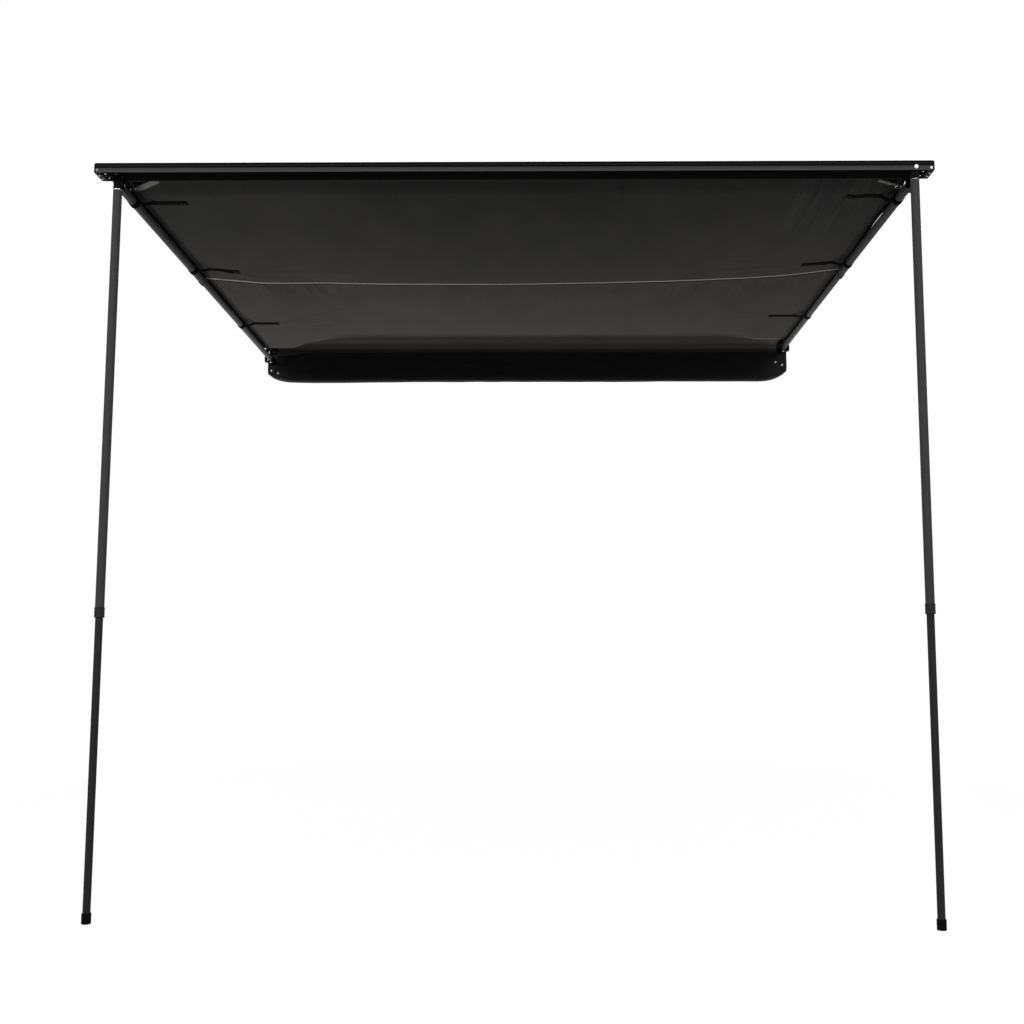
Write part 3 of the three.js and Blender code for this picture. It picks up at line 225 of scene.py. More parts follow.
# Finishes: heights on the beam's face that carry its painted light and painted highlight, the fine grain of
# powder coat, and the pitch of threads
LOWER_FACE = (-0.0226, -0.0098, 0.0006)
FACE_BEVEL = (-0.0034, -0.0012, 0.0004)
COAT_GRAIN = 1400
THREAD_PITCH = 0.0009
RIPSTOP_PITCH = 0.006
# Painted light on the beam's lower face and a painted highlight along its bevel
FACE_PAINTED_LIGHT_GREY, BEVEL_PAINTED_HIGHLIGHT_GREY = (0.064, 0.064, 0.067), (0.060, 0.060, 0.062)
# Painted light: the pale grey of the skirt's fall into the bag
SKIRT_PAINTED_LIGHT_GREY = (0.22, 0.212, 0.204)


def coated_beam():
    """Satin black powder coat on the beam. Painted light on its lower face, brightest at the lower edge,
    a painted highlight along the bevel under the top lip, and painted light from the floor on all
    behind the front wall and below the top; the relief stays dark
    """
    made = Finish("beam powder coat", Specular_IOR_Level=0.02)
    soft = made.cloudy(5, 4, made.stretched(1, 6, 6))
    ahead = 1 - made.y.rise(BEAM_FRONT + 0.004, BEAM_FRONT + 0.006)
    # Where the painted light on the lower face and the painted highlight along the bevel lie
    face = ahead * made.z.band(*LOWER_FACE)
    bevel = ahead * made.z.band(*FACE_BEVEL)
    # Painted light from the floor: behind the front wall and below the top the coat is painted lighter
    under = made.y.rise(BEAM_FRONT + 0.0014, BEAM_FRONT + 0.003) * (1 - made.z.rise(0.001, 0.004))
    shade = made.blend(under, (0.0009, 0.0009, 0.0011), (0.026, 0.026, 0.027))
    # Painted light, brightest at the lower edge of the face
    lower = 0.72 + 0.28 * (1 - made.z.rise(-0.020, -0.013))
    shade = made.blend(face * lower * (0.85 + 0.15 * soft), shade, FACE_PAINTED_LIGHT_GREY)
    # Painted highlight along the bevel under the top lip
    shade = made.blend(bevel * 0.5, shade, BEVEL_PAINTED_HIGHLIGHT_GREY)
    fine = made.bump(made.cloudy(COAT_GRAIN, 2), 0.00005)
    return made.wear(Base_Color=shade, Roughness=0.38 + 0.14 * soft, Normal=fine)


def coated_rail():
    """Satin black powder coat on the back rail"""
    made = Finish("rail powder coat", Specular_IOR_Level=0.1)
    soft = made.cloudy(6, 4, made.stretched(1, 6, 6))
    shade = made.blend(soft, (0.004, 0.004, 0.0045), (0.009, 0.009, 0.0098))
    fine = made.bump(made.cloudy(COAT_GRAIN, 2), 0.00005)
    return made.wear(Base_Color=shade, Roughness=0.42 + 0.12 * soft, Normal=fine)


def coated_tube(name, along, dark, light, polish, gloss):
    """Drawn tube with fine streaks along it; along scales the place on each axis"""
    made = Finish(name, Specular_IOR_Level=gloss)
    streaks = made.cloudy(1, 5, made.stretched(*along))
    broad = made.cloudy(3, 3)
    shade = made.blend(0.65 * streaks + 0.35 * broad, dark, light)
    fine = made.bump(streaks, 0.00004, made.bump(made.cloudy(1500, 2), 0.00003))
    return made.wear(Base_Color=shade, Roughness=polish + 0.16 * streaks, Normal=fine)


def moulded_nylon(name, dark, light):
    """Glass-filled nylon: eroded grain and paler rubbed spots"""
    made = Finish(name, Specular_IOR_Level=0.03)
    grain = made.cells(1600)
    rub = made.cloudy(60, 4).rise(0.55, 0.8)
    shade = made.blend(0.3 * grain + 0.7 * rub, dark, light)
    return made.wear(
        Base_Color=shade, Roughness=0.52 + 0.12 * grain - 0.1 * rub, Normal=made.bump(grain, 0.00008),
    )


def foot_rubber():
    """Matte rubber with scuffs and dust low down"""
    made = Finish("foot rubber", Specular_IOR_Level=0.03)
    scuff = made.cloudy(180, 5).rise(0.5, 0.75)
    low = 1 - made.z.rise(GROUND, GROUND + 0.012)
    shade = made.blend(scuff * (0.35 + 0.5 * low), (0.0045, 0.0045, 0.0045), (0.020, 0.019, 0.0175))
    return made.wear(
        Base_Color=shade, Roughness=0.72 + 0.2 * scuff, Normal=made.bump(made.cloudy(900, 3), 0.00012),
    )


def plated_steel(name, dark, light):
    """Plated steel of the bolts, screws and studs"""
    made = Finish(name, Metallic=1.0)
    brushed = made.cloudy(900, 4, made.stretched(1, 0.2, 1))
    dull = made.cloudy(300, 3)
    shade = made.blend(dull, dark, light)
    return made.wear(
        Base_Color=shade, Roughness=0.2 + 0.22 * dull, Normal=made.bump(brushed, 0.00003),
    )


def worn_brass():
    """Nickelled brass of the eyelets, rubbed through in places"""
    made = Finish("nickelled brass", Metallic=1.0)
    rub = made.cloudy(700, 4).rise(0.4, 0.7)
    shade = made.blend(rub, (0.66, 0.64, 0.58), (0.56, 0.42, 0.22))
    return made.wear(Base_Color=shade, Roughness=0.24 + 0.2 * rub, Normal=made.bump(rub, 0.00002))


def canopy_cloth(name, skirt_painted_light=0.0):
    """Coated charcoal canvas: ripstop weave, blotchy tone, painted crease shading, painted light that grows
    towards the rail, puckers behind the seam and pulled creasing at the right front corner that are
    bumps with painted shade; towards the front it is painted lighter at the left and right and darker in
    the middle, and a skirt's paler fall into the bag is painted light"""
    made = Finish(name, Specular_IOR_Level=0.006)
    warp, weft = made.x.wave(THREAD_PITCH), made.y.wave(THREAD_PITCH)
    ripstop = made.x.wave(RIPSTOP_PITCH) ** 12 + made.y.wave(RIPSTOP_PITCH) ** 12
    cloud = made.cloudy(2.2, 5)
    # Painted crease shading: streaks of paler and darker colour
    painted_crease_shade = made.cloudy(7, 6, made.stretched(1, 0.5, 1)).rise(0.3, 0.75)
    # Painted light: paler towards the rail
    painted_rear_light = made.y.rise(-2.25, -0.40)
    outwards = abs(made.x)
    behind_seam = made.y + 0.115 * made.x * made.x + 1.0
    sewn = behind_seam.rise(-0.005, 0.02) * (1 - behind_seam.rise(0.08, 0.34))
    sewn = sewn * (0.45 + 0.55 * outwards.rise(0.3, 0.9))
    edge = 0.3 * (1 - made.y.rise(-2.03, -1.78))
    puckers = made.cloudy(1, 3, made.stretched(34, 4.5, 1)).rise(0.36, 0.66)
    corner = made.x.band(0.93, 1.06, 0.10) * (1 - made.y.rise(-1.85, -1.42))
    pulled = made.cloudy(1, 3, made.stretched(26, 1.1, 1)).rise(0.38, 0.64)
    # The puckers and the pulled creasing are bumps, and painted shade in the colour too
    folds_and_painted_fold_shade = (puckers - 0.5) * (sewn + edge) * 0.16 + (pulled - 0.45) * corner * 0.36
    # Painted light: towards the front, paler at the left and right and darker in the middle
    painted_side_light = (outwards.rise(0.1, 0.9) - 0.6) * (1 - made.y.rise(-1.35, -0.7))
    pale = 0.32 * cloud + 0.16 * painted_crease_shade + 0.05 * ripstop + 0.45 * painted_rear_light + folds_and_painted_fold_shade + 0.22 * painted_side_light
    shade = made.blend(pale, (0.016, 0.0153, 0.0147), (0.052, 0.0500, 0.0483))
    if skirt_painted_light:
        # Painted light: the skirt is paler down its fall, least where it reaches the bag
        painted_light_on_fall = (1 - made.z.rise(-0.016, -0.002)) * (0.1 + 0.9 * made.z.rise(-0.042, -0.022))
        shade = made.blend(skirt_painted_light * painted_light_on_fall, shade, SKIRT_PAINTED_LIGHT_GREY)
    woven = made.bump(0.5 * warp + 0.5 * weft + 0.4 * ripstop, 0.00006)
    soft = made.bump(made.cloudy(16, 5), 0.0016, made.bump(folds_and_painted_fold_shade, 0.02, woven))
    return made.wear(Base_Color=shade, Roughness=0.56 + 0.16 * cloud, Normal=soft)


def webbing(name, dark, light):
    """Woven polypropylene webbing: ribs across and a fine twill"""
    made = Finish(name, Specular_IOR_Level=0.007)
    twill = (made.x + made.y + made.z).wave(0.0016) * (made.x - made.y).wave(0.0016)
    ribs = made.y.wave(0.0031)
    fuzz = made.cloudy(500, 4)
    shade = made.blend(0.5 * twill + 0.5 * fuzz, dark, light)
    return made.wear(
        Base_Color=shade, Roughness=0.74 + 0.16 * fuzz,
        Normal=made.bump(0.6 * twill + 0.4 * ribs, 0.0002),
    )


def bag_fabric():
    """PVC-coated bag fabric: supple, with a soft sheen and small buckles"""
    made = Finish("bag fabric", Specular_IOR_Level=0.04)
    scrim = made.x.wave(0.0016) * made.z.wave(0.0016)
    buckles = made.cloudy(9, 5, made.stretched(1, 2.2, 2.2))
    shade = made.blend(buckles, (0.0085, 0.0085, 0.0090), (0.0190, 0.0190, 0.0200))
    soft = made.bump(buckles, 0.006, made.bump(scrim, 0.00006))
    return made.wear(Base_Color=shade, Roughness=0.4 + 0.18 * buckles, Normal=soft)


def thread(name, dark, light):
    """Twisted sewing thread"""
    made = Finish(name, Specular_IOR_Level=0.4)
    twist = (made.x + made.y).wave(THREAD_PITCH)
    shade = made.blend(twist, dark, light)
    return made.wear(Base_Color=shade, Roughness=0.6 + 0.2 * twist, Normal=made.bump(twist, 0.0001))


BEAM_COAT = coated_beam()
RAIL_COAT = coated_rail()
ALONG_LEG, ALONG_ARM = (420, 420, 5), (420, 5, 420)
LEG_COAT = coated_tube(
    "leg tube coat", ALONG_LEG, (0.037, 0.0365, 0.0382), (0.067, 0.0665, 0.069), 0.46, 0.03)
# Painted shade: the lower leg tubes are darker than the upper ones, for the shade low on the legs
LEG_LOWER_PAINTED_SHADE = coated_tube(
    "lower leg tube", ALONG_LEG, (0.019, 0.019, 0.0196), (0.036, 0.036, 0.0370), 0.46, 0.03)
ARM_COAT = coated_tube(
    "arm tube coat", ALONG_ARM, (0.022, 0.0218, 0.0222), (0.043, 0.0428, 0.0433), 0.46, 0.025)
ARM_INNER = coated_tube(
    "inner arm tube", ALONG_ARM, (0.038, 0.038, 0.0375), (0.070, 0.070, 0.069), 0.44, 0.04)
NYLON = moulded_nylon("moulded nylon", (0.0028, 0.0028, 0.0031), (0.013, 0.013, 0.0136))
GRIP = moulded_nylon("grip nylon", (0.026, 0.026, 0.0265), (0.054, 0.054, 0.055))
RUBBER = foot_rubber()
STEEL = plated_steel("zinc plated steel", (0.52, 0.52, 0.50), (0.80, 0.80, 0.79))
DULL_STEEL = plated_steel("dull plated steel", (0.13, 0.13, 0.135), (0.27, 0.27, 0.28))
BRASS = worn_brass()
CANVAS = canopy_cloth("canopy canvas")
# The skirt's canvas, with painted light on its fall
SKIRT_CANVAS_PAINTED_LIGHT = canopy_cloth("skirt canvas", 0.44)
WEBBING = webbing("strap webbing", (0.0006, 0.0006, 0.0006), (0.0022, 0.0022, 0.0023))
BINDING = webbing("edge binding", (0.0014, 0.0014, 0.0015), (0.0048, 0.0048, 0.0050))
BAG = bag_fabric()
SEAM_TAPE = thread("seam tape", (0.11, 0.107, 0.100), (0.20, 0.195, 0.185))
CORNER_TAPE = thread("corner tape", (0.031, 0.0304, 0.0287), (0.058, 0.0568, 0.0538))
PALE_THREAD = thread("seam thread", (0.09, 0.088, 0.083), (0.17, 0.165, 0.155))
DARK_THREAD = thread("black thread", (0.005, 0.005, 0.005), (0.018, 0.018, 0.018))


# Mesh making
TINY = 1e-6
MOST_ROUNDED = 0.45
EDGE_ANGLE = 0.6
FLAT_ANGLE = 0.02


def across(way):
    """Two directions square to a way"""
    first = way.orthogonal().normalized()
    return first, way.cross(first).normalized()


def round_way(first, second, turn):
    """The way at an angle from first towards second"""
    return first * math.cos(turn) + second * math.sin(turn)


def ring_faces(count, rings=2):
    """Faces between rings of count corners each, closed at both ends"""
    faces = []
    for ring in range(rings - 1):
        for k in range(count):
            a, b = ring * count + k, ring * count + (k + 1) % count
            faces.append([a, b, b + count, a + count])
    last = (rings - 1) * count
    return faces + [list(range(count))[::-1], list(range(last, last + count))]


def piece(name, corners, faces, finish, body, slot, stands_for=(), sharp=32):
    """A named piece from corners and faces, riding on a body of the frame; edges steeper than sharp
    degrees stay sharp"""
    mesh = bpy.data.meshes.new(name)
    mesh.from_pydata([tuple(corner) for corner in corners], [], faces)
    tidy = bmesh.new()
    tidy.from_mesh(mesh)
    bmesh.ops.recalc_face_normals(tidy, faces=tidy.faces)
    tidy.to_mesh(mesh)
    tidy.free()
    return dressed(name, mesh, finish, body, stands_for, sharp)


def dressed(name, mesh, finish, body, stands_for=(), sharp=32):
    """A mesh as a piece, with its finish, its body and the CAD nodes that it replaces"""
    mesh.polygons.foreach_set("use_smooth", [True] * len(mesh.polygons))
    mesh.set_sharp_from_angle(angle=math.radians(sharp))
    mesh.materials.clear()
    mesh.materials.append(finish.material)
    made = bpy.data.objects.new(name, mesh)
    bpy.context.scene.collection.objects.link(made)
    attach(made, body)
    if stands_for:
        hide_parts(*stands_for)
    return made


def joined(*shapes):
    """Several (corners, faces) as one"""
    corners, faces = [], []
    for some, their in shapes:
        faces += [[i + len(corners) for i in face] for face in their]
        corners += some
    return corners, faces


def turned(profile, start, way, facets=56, closed=False, flute=None):
    """A shape turned about an axis, from (radius, distance along it) points; closed makes a ring of it,
    and flute gives what is added to a radius at an angle"""
    first, second = across(way)
    corners, faces, rings = [], [], []
    for radius, along in profile:
        middle = start + way * along
        if radius < TINY:
            rings.append([len(corners)])
            corners.append(middle)
            continue
        rings.append(list(range(len(corners), len(corners) + facets)))
        for k in range(facets):
            turn = FULL_TURN * k / facets
            reach = radius + (flute(turn, radius, along) if flute else 0)
            corners.append(middle + round_way(first, second, turn) * reach)
    pairs = list(zip(rings, rings[1:])) + ([(rings[-1], rings[0])] if closed else [])
    for last, next_ in pairs:
        for k in range(facets):
            a, b = k % len(last), (k + 1) % len(last)
            c, d = (k + 1) % len(next_), k % len(next_)
            face = list(dict.fromkeys((last[a], last[b], next_[c], next_[d])))
            if len(face) > 2:
                faces.append(face)
    return corners, faces


def drawn(section, start, way, length, first, second):
    """A section, in first and second, run along a straight way and closed at both ends"""
    corners = [
        start + way * along + first * a + second * b for along in (0, length) for a, b in section
    ]
    return corners, ring_faces(len(section))


def rounded(points, radius, steps=4):
    """An outline with its corners rounded; radius is one number or one for each corner"""
    radii = radius if hasattr(radius, "__len__") else [radius] * len(points)
    found = []
    for k, (corner, r) in enumerate(zip(points, radii)):
        here = Vector(corner)
        back = Vector(points[k - 1]) - here
        ahead = Vector(points[(k + 1) % len(points)]) - here
        reach = min(r, back.length * MOST_ROUNDED, ahead.length * MOST_ROUNDED)
        if reach < TINY:
            found.append(tuple(here))
            continue
        one, two = here + back.normalized() * reach, here + ahead.normalized() * reach
        for i in range(steps + 1):
            t = i / steps
            found.append(tuple(one * (1 - t) ** 2 + here * 2 * t * (1 - t) + two * t ** 2))
    return found


def block(low, high, soft):
    """A box with rounded upright edges and eased rims"""
    outline = rounded([(low[0], low[1]), (high[0], low[1]), (high[0], high[1]), (low[0], high[1])], soft)
    middle = Vector(((low[0] + high[0]) / 2, (low[1] + high[1]) / 2))
    rim = soft * 0.4
    levels = ((low[2], rim), (low[2] + rim, 0), (high[2] - rim, 0), (high[2], rim))
    corners = []
    for z, inset in levels:
        for point in outline:
            away = Vector(point) - middle
            x = point[0] - math.copysign(min(inset, abs(away.x)), away.x)
            y = point[1] - math.copysign(min(inset, abs(away.y)), away.y)
            corners.append(Vector((x, y, z)))
    return corners, ring_faces(len(outline), len(levels))


def shell(tops, bottoms):
    """A closed sheet between two grids of places"""
    rows, columns = len(tops), len(tops[0])
    corners = [place for grid in (tops, bottoms) for row in grid for place in row]
    layer = rows * columns
    faces = []
    for i in range(rows - 1):
        for j in range(columns - 1):
            a = i * columns + j
            faces.append([a, a + 1, a + columns + 1, a + columns])
            faces.append([a + layer, a + layer + columns, a + layer + columns + 1, a + layer + 1])
    rim = list(range(columns))
    rim += [i * columns + columns - 1 for i in range(1, rows)]
    rim += [(rows - 1) * columns + j for j in range(columns - 2, -1, -1)]
    rim += [i * columns for i in range(rows - 2, 0, -1)]
    for k, a in enumerate(rim):
        b = rim[(k + 1) % len(rim)]
        faces.append([a, a + layer, b + layer, b])
    return corners, faces


def cord_of(points, radius, facets):
    """A thin round thread through points"""
    corners = []
    for i, point in enumerate(points):
        way = (points[min(i + 1, len(points) - 1)] - points[max(i - 1, 0)]).normalized()
        first, second = across(way)
        for k in range(facets):
            corners.append(point + round_way(first, second, FULL_TURN * k / facets) * radius)
    return corners, ring_faces(facets, len(points))


def eased_copy(node, name, soft, ceiling=None):
    """A moulding of a CAD node's own shape, with its sharp edges eased by soft; ceiling gives the
    greatest height at a depth"""
    work = bmesh.new()
    work.from_mesh(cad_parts[node].data)
    for corner in work.verts:
        if ceiling:
            corner.co.z = min(corner.co.z, ceiling(corner.co.y))
    bmesh.ops.remove_doubles(work, verts=work.verts, dist=TINY)
    bmesh.ops.dissolve_limit(work, angle_limit=FLAT_ANGLE, verts=work.verts, edges=work.edges)
    edges = [edge for edge in work.edges if edge.is_manifold and edge.calc_face_angle(0) > EDGE_ANGLE]
    bmesh.ops.bevel(
        work, geom=edges, offset=soft, segments=2, profile=0.5, affect="EDGES", clamp_overlap=True,
    )
    mesh = bpy.data.meshes.new(name)
    work.to_mesh(mesh)
    work.free()
    return dressed(name, mesh, NYLON, "awning", [node])


def seat_top(y):
    """Greatest height of an arm's seat: it slopes down behind the beam"""
    foot, head, slope = -0.0340, -0.0066, 1.9
    return max(foot, head - slope * max(0.0, y - BEAM_REAR))


# Front beam: inverted channel with its relief and sail track
def front_beam():
    wall, lip, slit = 0.002, 0.0024, 0.0014
    relief, relief_top, relief_foot = 0.0008, -0.0035, -0.0088

    def y(depth):
        return BEAM_FRONT + depth

    outline = rounded([
        (y(0), BEAM_BOTTOM), (y(wall), BEAM_BOTTOM), (y(wall), BEAM_TOP - wall),
        (BEAM_REAR - wall, BEAM_TOP - wall), (BEAM_REAR - wall, BEAM_BOTTOM),
        (BEAM_REAR, BEAM_BOTTOM), (BEAM_REAR, BEAM_TOP), (y(-lip), BEAM_TOP),
        (y(-lip), BEAM_TOP - 0.006), (y(relief), relief_top), (y(relief), relief_foot),
        (y(0), relief_foot - relief),
    ], (0.0006, 0.0006, 0.001, 0.001, 0.0006, 0.0006, 0.0008, 0.0014, 0.0006, 0.0006, 0.0004, 0.0008))
    opened = math.asin(slit / TRACK_BORE)
    turns = [opened + k * (FULL_TURN - 2 * opened) / 30 for k in range(31)]
    track = [(TRACK_Y + radius * math.cos(turn), radius * math.sin(turn))
             for radius, path in ((TRACK_RADIUS, turns), (TRACK_BORE, turns[::-1])) for turn in path]
    run = Vector((-BEAM_HALF, 0, 0)), Vector((1, 0, 0)), 2 * BEAM_HALF, BACK, -DOWN
    piece("front_beam_shell", *joined(drawn(outline, *run), drawn(track, *run)), BEAM_COAT, "awning",
          "beam_aluminium", ["front_beam"], 25)


# Screws and bolts
def cross_headed(name, node, place, way, radius, height, length):
    """Pan-head screw with a cross recess, its way pointing from the head into the part"""
    shank = radius * 0.48
    top = turned([
        (0, height * 0.16), (radius * 0.30, height * 0.16), (radius * 0.34, 0.0001),
        (radius * 0.62, 0.0003), (radius * 0.88, height * 0.3), (radius, height * 0.62),
        (radius, height), (shank, height), (shank, length), (0, length),
    ], place, way, 40)
    first, second = across(way)
    mouth, foot, half, deep, sunk = radius * 0.5, radius * 0.4, radius * 0.08, height * 0.3, 0.00005
    section = [(-mouth, 0), (mouth, 0), (foot, deep), (-foot, deep)]
    slots = [
        drawn(section, place - short * half + way * sunk, short, 2 * half, long, way)
        for long, short in ((first, second), (second, first))
    ]
    piece(name, *top, DULL_STEEL if place.x < 0 else STEEL, "awning", "bolt_steel", [node])
    piece(name + "_recess", *joined(*slots), NYLON, "awning", "bolt_steel")


def button_bolt(name, node, place, way, radius, height, length, finish=STEEL):
    """Button-head bolt with a sunk socket and its shank"""
    steps, shank, depth = 12, radius * 0.55, height * 0.6
    turns = [k * math.pi / 2 / steps for k in range(5, steps + 1)]
    dome = [(radius * math.sin(turn), height * (1 - math.cos(turn))) for turn in turns]
    head = turned([(0, depth), (radius * 0.40, depth), (radius * 0.42, dome[0][1])] + dome + [
        (shank, height), (shank, length), (0, length),
    ], place, way, 42)
    piece(name, *head, finish, "awning", "bolt_steel", [node])


def fasteners(side):
    """Screw of the beam's end fitting, and the pivot bolts of the leg and the arm"""
    screw = Vector((side.sign * 1.240, BEAM_FRONT - 0.0027, BEAM_BOTTOM + 0.007))
    cross_headed(
        f"{side.name}_end_screw_head", f"{side.name}_end_screw", screw, BACK, 0.0042, 0.0024, 0.0167)
    proud = 0.0053
    place, way = Vector((LEG_X, BEAM_FRONT - proud, LEG_PIVOT_Z)), BACK
    if side is LEFT:
        place, way = Vector((-LEG_X, BEAM_REAR + proud, LEG_PIVOT_Z)), OUT
    button_bolt(f"{side.name}_leg_pivot_bolt", f"{side.name}_leg_bolt", place, way, 0.0068, 0.005, 0.0490)
    half_eye, lug, gap, head = 0.0085, 0.004, 0.0003, 0.0045
    pivot = side.arm_tip + side.arm_way * side.arm_length
    button_bolt(
        f"{side.name}_arm_pivot_bolt", f"{side.name}_arm_pin",
        pivot - side.arm_up * (half_eye + lug + gap + head), side.arm_up, 0.007, head, 0.0293, DULL_STEEL)


def dome_stud(name, place, way, radius, height, body="awning"):
    """Small domed stud that stands on a surface at place and faces along way"""
    foot = 0.35
    dome = [(radius * math.cos(turn), height * (foot + (1 - foot) * math.sin(turn)))
            for turn in (k * math.pi / 12 for k in range(6))]
    piece(name, *turned([(0, 0), (radius, 0)] + dome + [(0, height)], place, way, 30), DULL_STEEL, body,
          "bolt_steel")


# Telescopic tubes and their twist locks
def eased_ring(bore, radius, begin, end, ease):
    """Profile of a tube or an eye, with its outer rims eased"""
    return [
        (bore, begin), (radius - ease, begin), (radius, begin + ease), (radius, end - ease),
        (radius - ease, end), (bore, end),
    ]


def tube(name, node, start, way, radius, begin, end, finish, body, slot, flutes=0, depth=0.0):
    """Tube with eased ends, with flutes grooves along it that are depth deep"""
    wall, ease = 0.0012, 0.0004

    def flute(turn, reach, along):
        return -depth * max(0.0, math.cos(flutes * turn)) ** 3 if reach >= radius - 0.001 else 0

    profile = eased_ring(radius - wall, radius, begin, end, ease)
    shape = turned(profile, start, way, flutes * 10 or 56, True, flute if flutes else None)
    piece(name, *shape, finish, body, slot, [node], 50 if flutes else 30)


def twist_collar(name, node, start, way, begin, length, body):
    """Grip collar of a twist lock: two smooth rims and fine ribs between"""
    outer, bore, mouth = 0.0148, 0.0133, 0.0113
    groove, ribbed = outer - 0.0007, outer - 0.0004
    rib_count, rib_depth = 22, 0.0005
    end, rim = begin + length, length * 0.17

    def ribs(turn, reach, along):
        inside = begin + rim * 1.25 < along < end - rim * 1.25 and reach > bore + 0.0003
        return -rib_depth * max(0.0, math.cos(rib_count * turn)) if inside else 0

    profile = [
        (bore, begin), (outer - 0.0010, begin), (outer, begin + 0.0009), (outer, begin + rim),
        (groove, begin + rim * 1.2), (ribbed, begin + rim * 1.5), (ribbed, begin + length / 2),
        (ribbed, end - rim * 1.5), (groove, end - rim * 1.2), (outer, end - rim), (outer, end - 0.0009),
        (outer - 0.0012, end), (mouth, end), (mouth, end - 0.003), (bore, end - 0.003),
    ]
    piece(name, *turned(profile, start, way, rib_count * 6, True, ribs), GRIP, body, "moulded_nylon",
          [node], 40)


# Legs
def leg_head(side):
    """Moulded head: eye in the beam's lane, shoulder, neck, and a bright ferrule on the tube"""
    top, body = side.leg_top, f"{side.name}_leg"
    half_wide, half_deep = 0.012, 0.0122
    neck_top = -0.0025 - side.neck
    shoulder_top = neck_top - 0.013
    stem = turned([
        (0, 0.030), (0.0115, 0.030), (0.0115, -0.0003), (0.0127, -0.0003), (0.0127, -0.0023),
        (0.0100, -0.0027), (0.0103, -0.0027 - side.neck * 0.35), (0.0118, neck_top + 0.0012),
        (0.0129, neck_top), (0.0130, neck_top - 0.002), (0.0124, neck_top - 0.0032),
        (0.0130, neck_top - 0.0044), (0.0130, shoulder_top + 0.001), (0.0122, shoulder_top),
        (0, shoulder_top),
    ], top, DOWN)
    cheek = block((top.x - half_wide, side.lane - half_deep, top.z - neck_top),
                  (top.x + half_wide, side.lane + half_deep, LEG_PIVOT_Z), 0.003)
    eye = turned(eased_ring(BOLT_HOLE, half_wide, 0, 2 * half_deep, EYE_EASE),
                 Vector((top.x, side.lane - half_deep, LEG_PIVOT_Z)), BACK, 48, True)
    piece(f"{side.name}_leg_head", *joined(stem, cheek, eye), NYLON, body, "moulded_nylon",
          [f"{side.name}_leg_knuckle"])
    ferrule = turned([
        (0.0118, -0.0020), (0.0129, -0.0020), (0.0133, -0.0017), (0.0133, -0.0004), (0.0129, 0),
        (0.0118, 0),
    ], top, DOWN, 56, True)
    piece(f"{side.name}_leg_ferrule", *ferrule, STEEL if side is LEFT else DULL_STEEL, body, "bolt_steel")


def leg_foot(side):
    """Rubber foot cap with a rolled rim, two grooves and a ribbed sole"""
    ground = side.leg_top.z - GROUND
    top, floor_top = ground - 0.030, ground - 0.006
    outer, mouth = 0.0135, 0.0113
    sunk, groove = ground - 0.0012, outer - 0.0006
    profile = [
        (0, sunk), (0.0045, sunk), (0.005, ground), (0.0085, ground), (0.009, sunk), (0.0105, sunk),
        (0.011, ground), (outer - 0.0014, ground), (outer, ground - 0.0016), (outer, ground - 0.008),
        (groove, ground - 0.0088), (outer, ground - 0.0096), (outer, ground - 0.0125),
        (groove, ground - 0.0133), (outer, ground - 0.0141), (outer, top + 0.003),
        (outer - 0.0003, top + 0.001), (outer - 0.0010, top), (mouth, top), (mouth, floor_top),
        (0, floor_top),
    ]
    piece(f"{side.name}_foot_cap", *turned(profile, side.leg_top, DOWN), RUBBER, f"{side.name}_leg_lower",
          "foot_rubber", [f"{side.name}_leg_foot"], 40)


def leg(side):
    name, top = side.name, side.leg_top
    overlap, collar, sole = 0.200, 0.030, 0.0063
    leg_head(side)
    tube(f"{name}_upper_leg", f"{name}_leg_outer_tube", top, DOWN, TUBE_RADIUS, 0, LEG_TUBE_LENGTH,
         LEG_COAT, f"{name}_leg", "tube_aluminium")
    tube(f"{name}_lower_leg", f"{name}_leg_inner_tube", top, DOWN, INNER_RADIUS, LEG_TUBE_LENGTH - overlap,
         top.z - GROUND - sole, LEG_LOWER_PAINTED_SHADE, f"{name}_leg_lower", "inner_tube_aluminium")
    twist_collar(f"{name}_leg_twist_collar", f"{name}_leg_lock_collar", top, DOWN,
                 LEG_TUBE_LENGTH - COLLAR_LAP, collar, f"{name}_leg_lock")
    leg_foot(side)


# Arms
EYE_REACH = 0.020


def arm(side):
    name, tip, way = side.name, side.arm_tip, side.arm_way
    overlap, collar, flutes, flute_depth = 0.180, 0.026, 14, 0.0006
    outer_end = ARM_PLUG + ARM_TUBE_LENGTH
    plug = turned([
        (0, 0.0006), (0.009, 0.0004), (0.0115, 0), (0.0126, 0.0010), (0.0130, 0.0022), (0.0130, 0.0037),
        (0.0115, 0.0037), (0.0115, 0.034), (0, 0.034),
    ], tip, way)
    piece(f"{name}_arm_plug", *plug, NYLON, f"{name}_arm_front", "moulded_nylon", [f"{name}_arm_tip"])
    tube(f"{name}_outer_arm", f"{name}_arm_outer_tube", tip, way, TUBE_RADIUS, ARM_PLUG, outer_end,
         ARM_COAT, f"{name}_arm_front", "tube_aluminium")
    tube(f"{name}_inner_arm", f"{name}_arm_inner_tube", tip, way, INNER_RADIUS, outer_end - overlap,
         side.arm_length - EYE_REACH, ARM_INNER, f"{name}_arm", "inner_tube_aluminium", flutes, flute_depth)
    twist_collar(f"{name}_arm_twist_collar", f"{name}_arm_lock_collar", tip, way, outer_end - COLLAR_LAP,
                 collar, f"{name}_arm_lock")
    arm_eye(side)


